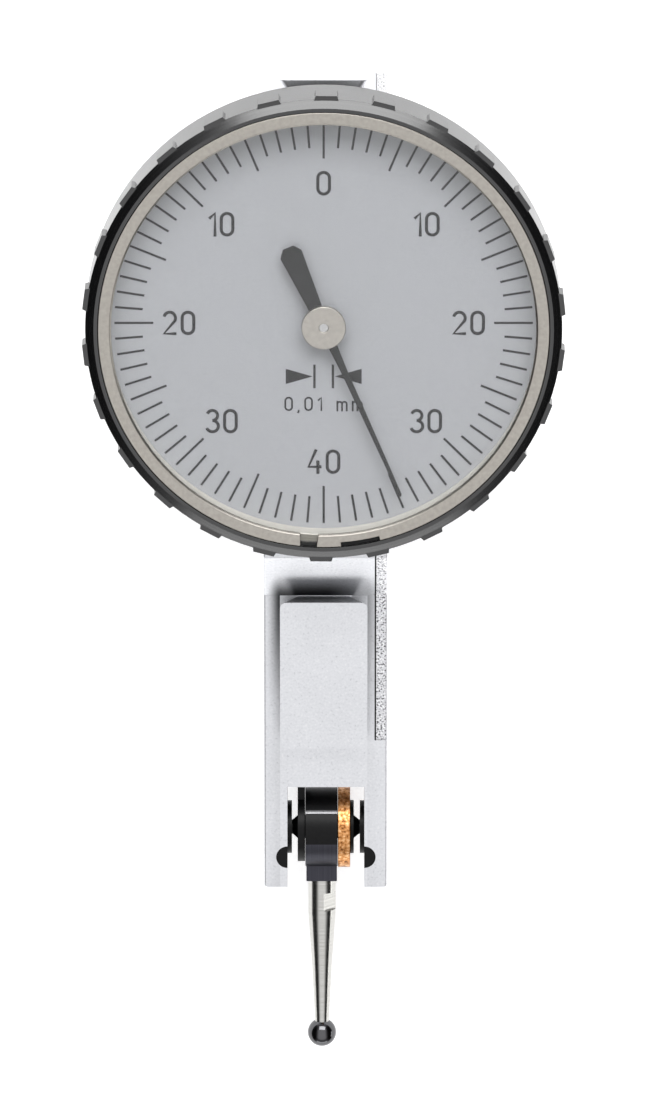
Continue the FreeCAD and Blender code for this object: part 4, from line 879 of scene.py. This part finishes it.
strokes, given = new_tree("pen_strokes", [
    ("Pen width", "NodeSocketFloat", PEN), ("Ink thickness", "NodeSocketFloat", INK_THICKNESS),
    ("Material", "NodeSocketMaterial", None)])
pen = add_node(strokes, "GeometryNodeCurvePrimitiveQuadrilateral",
               {"Width": given["Pen width"], "Height": given["Ink thickness"]}, mode="RECTANGLE")
upright = add_node(strokes, "GeometryNodeSetCurveNormal", {"Curve": given["Geometry"]}, mode="Z_UP")
swept = add_node(strokes, "GeometryNodeCurveToMesh",
                 {"Curve": upright.outputs[0], "Profile Curve": pen.outputs[0], "Fill Caps": True})
end_tree(strokes, swept.outputs[0], given["Material"])


def write(name, words, pen_width, letter_height, gap):
    """Pen lettering as one mesh. words is a list of (text, centre x, centre y); sizes in metres."""
    curve = bpy.data.curves.new(name, "CURVE")
    curve.dimensions = "3D"
    size = letter_height - pen_width
    for text, centre_x, centre_y in words:
        widths = [glyph_lines(letter)[1] * size for letter in text]
        at = centre_x - (sum(widths) + gap * (len(text) - 1)) / 2
        for letter, width in zip(text, widths):
            for points, closed in glyph_lines(letter)[0]:
                spline = curve.splines.new("POLY")
                spline.points.add(len(points) - 1)
                for spot, (x, y) in zip(spline.points, points):
                    spot.co = (at + x * size, centre_y + (y - 0.5) * size, INK_Z + INK_THICKNESS / 2, 1)
                spline.use_cyclic_u = closed
            at += width + gap
    seed = bpy.data.objects.new(name + "_lines", curve)
    piece = grow(name, strokes, {"Pen width": pen_width, "Material": finishes["printing_ink"]}, seed)
    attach(piece, "bezel")
    print(name, len(piece.data.polygons), "faces")


# %% [markdown]
# The dial reads both ways from the top, so the same numbers go down its two sides, one every eighth of a
# turn.

# %% Write the numbers and the unit
NUMERAL_RADIUS = 9.8 * MM
NUMERAL_HEIGHT = 1.72 * MM
NUMERAL_GAP = 0.42 * MM
UNIT_Y = -5.71 * MM
UNIT_HEIGHT = 1.0 * MM
UNIT_PEN = 0.12 * MM
UNIT_GAP = 0.41 * MM

numbers = []
for eighth in range(8):
    value = 10 * min(eighth, 8 - eighth)
    angle = eighth * math.pi / 4
    numbers.append((str(value), NUMERAL_RADIUS * math.sin(angle), NUMERAL_RADIUS * math.cos(angle)))
write("dial_numerals", numbers, PEN, NUMERAL_HEIGHT, NUMERAL_GAP)
write("dial_unit", [("0,01 mm", 0.0, UNIT_Y)], UNIT_PEN, UNIT_HEIGHT, UNIT_GAP)

# %% [markdown]
# ## The sign for one division
# Under the centre two arrowheads point at two lines: the sign that the unit is what lies between two
# graduations. It is flat ink too, so it is drawn as four outlines and thickened.

# %% Division sign
SIGN_Y = -3.77 * MM
SIGN_GAP_HALF = 0.625 * MM
SIGN_BAR = 0.16 * MM
SIGN_TALL = 1.67 * MM
ARROW_TIP = 0.76 * MM
ARROW_BASE = 2.57 * MM
ARROW_TALL = 1.07 * MM


def ink_shapes(name, outlines):
    """Flat ink: each outline, given anticlockwise, becomes a thin closed plate on the dial."""
    work = bmesh.new()
    for outline in outlines:
        face = work.faces.new([work.verts.new((x, y, INK_Z)) for x, y in outline])
        face.normal_flip()
        raised = bmesh.ops.extrude_face_region(work, geom=[face])["geom"]
        top = [part for part in raised if isinstance(part, bmesh.types.BMVert)]
        bmesh.ops.translate(work, vec=(0, 0, INK_THICKNESS), verts=top)
    bmesh.ops.recalc_face_normals(work, faces=work.faces)
    mesh = bpy.data.meshes.new(name)
    work.to_mesh(mesh)
    work.free()
    mesh.materials.append(finishes["printing_ink"])
    piece = bpy.data.objects.new(name, mesh)
    scene.collection.objects.link(piece)
    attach(piece, "bezel")


outlines = []
for side in (-1, 1):
    middle = side * SIGN_GAP_HALF
    left, right = middle - SIGN_BAR / 2, middle + SIGN_BAR / 2
    low, high = SIGN_Y - SIGN_TALL / 2, SIGN_Y + SIGN_TALL / 2
    outlines.append([(left, low), (right, low), (right, high), (left, high)])
    outlines.append([(side * ARROW_TIP, SIGN_Y), (side * ARROW_BASE, SIGN_Y + ARROW_TALL / 2),
                     (side * ARROW_BASE, SIGN_Y - ARROW_TALL / 2)][::side])
ink_shapes("dial_division_sign", outlines)
print("division sign drawn")
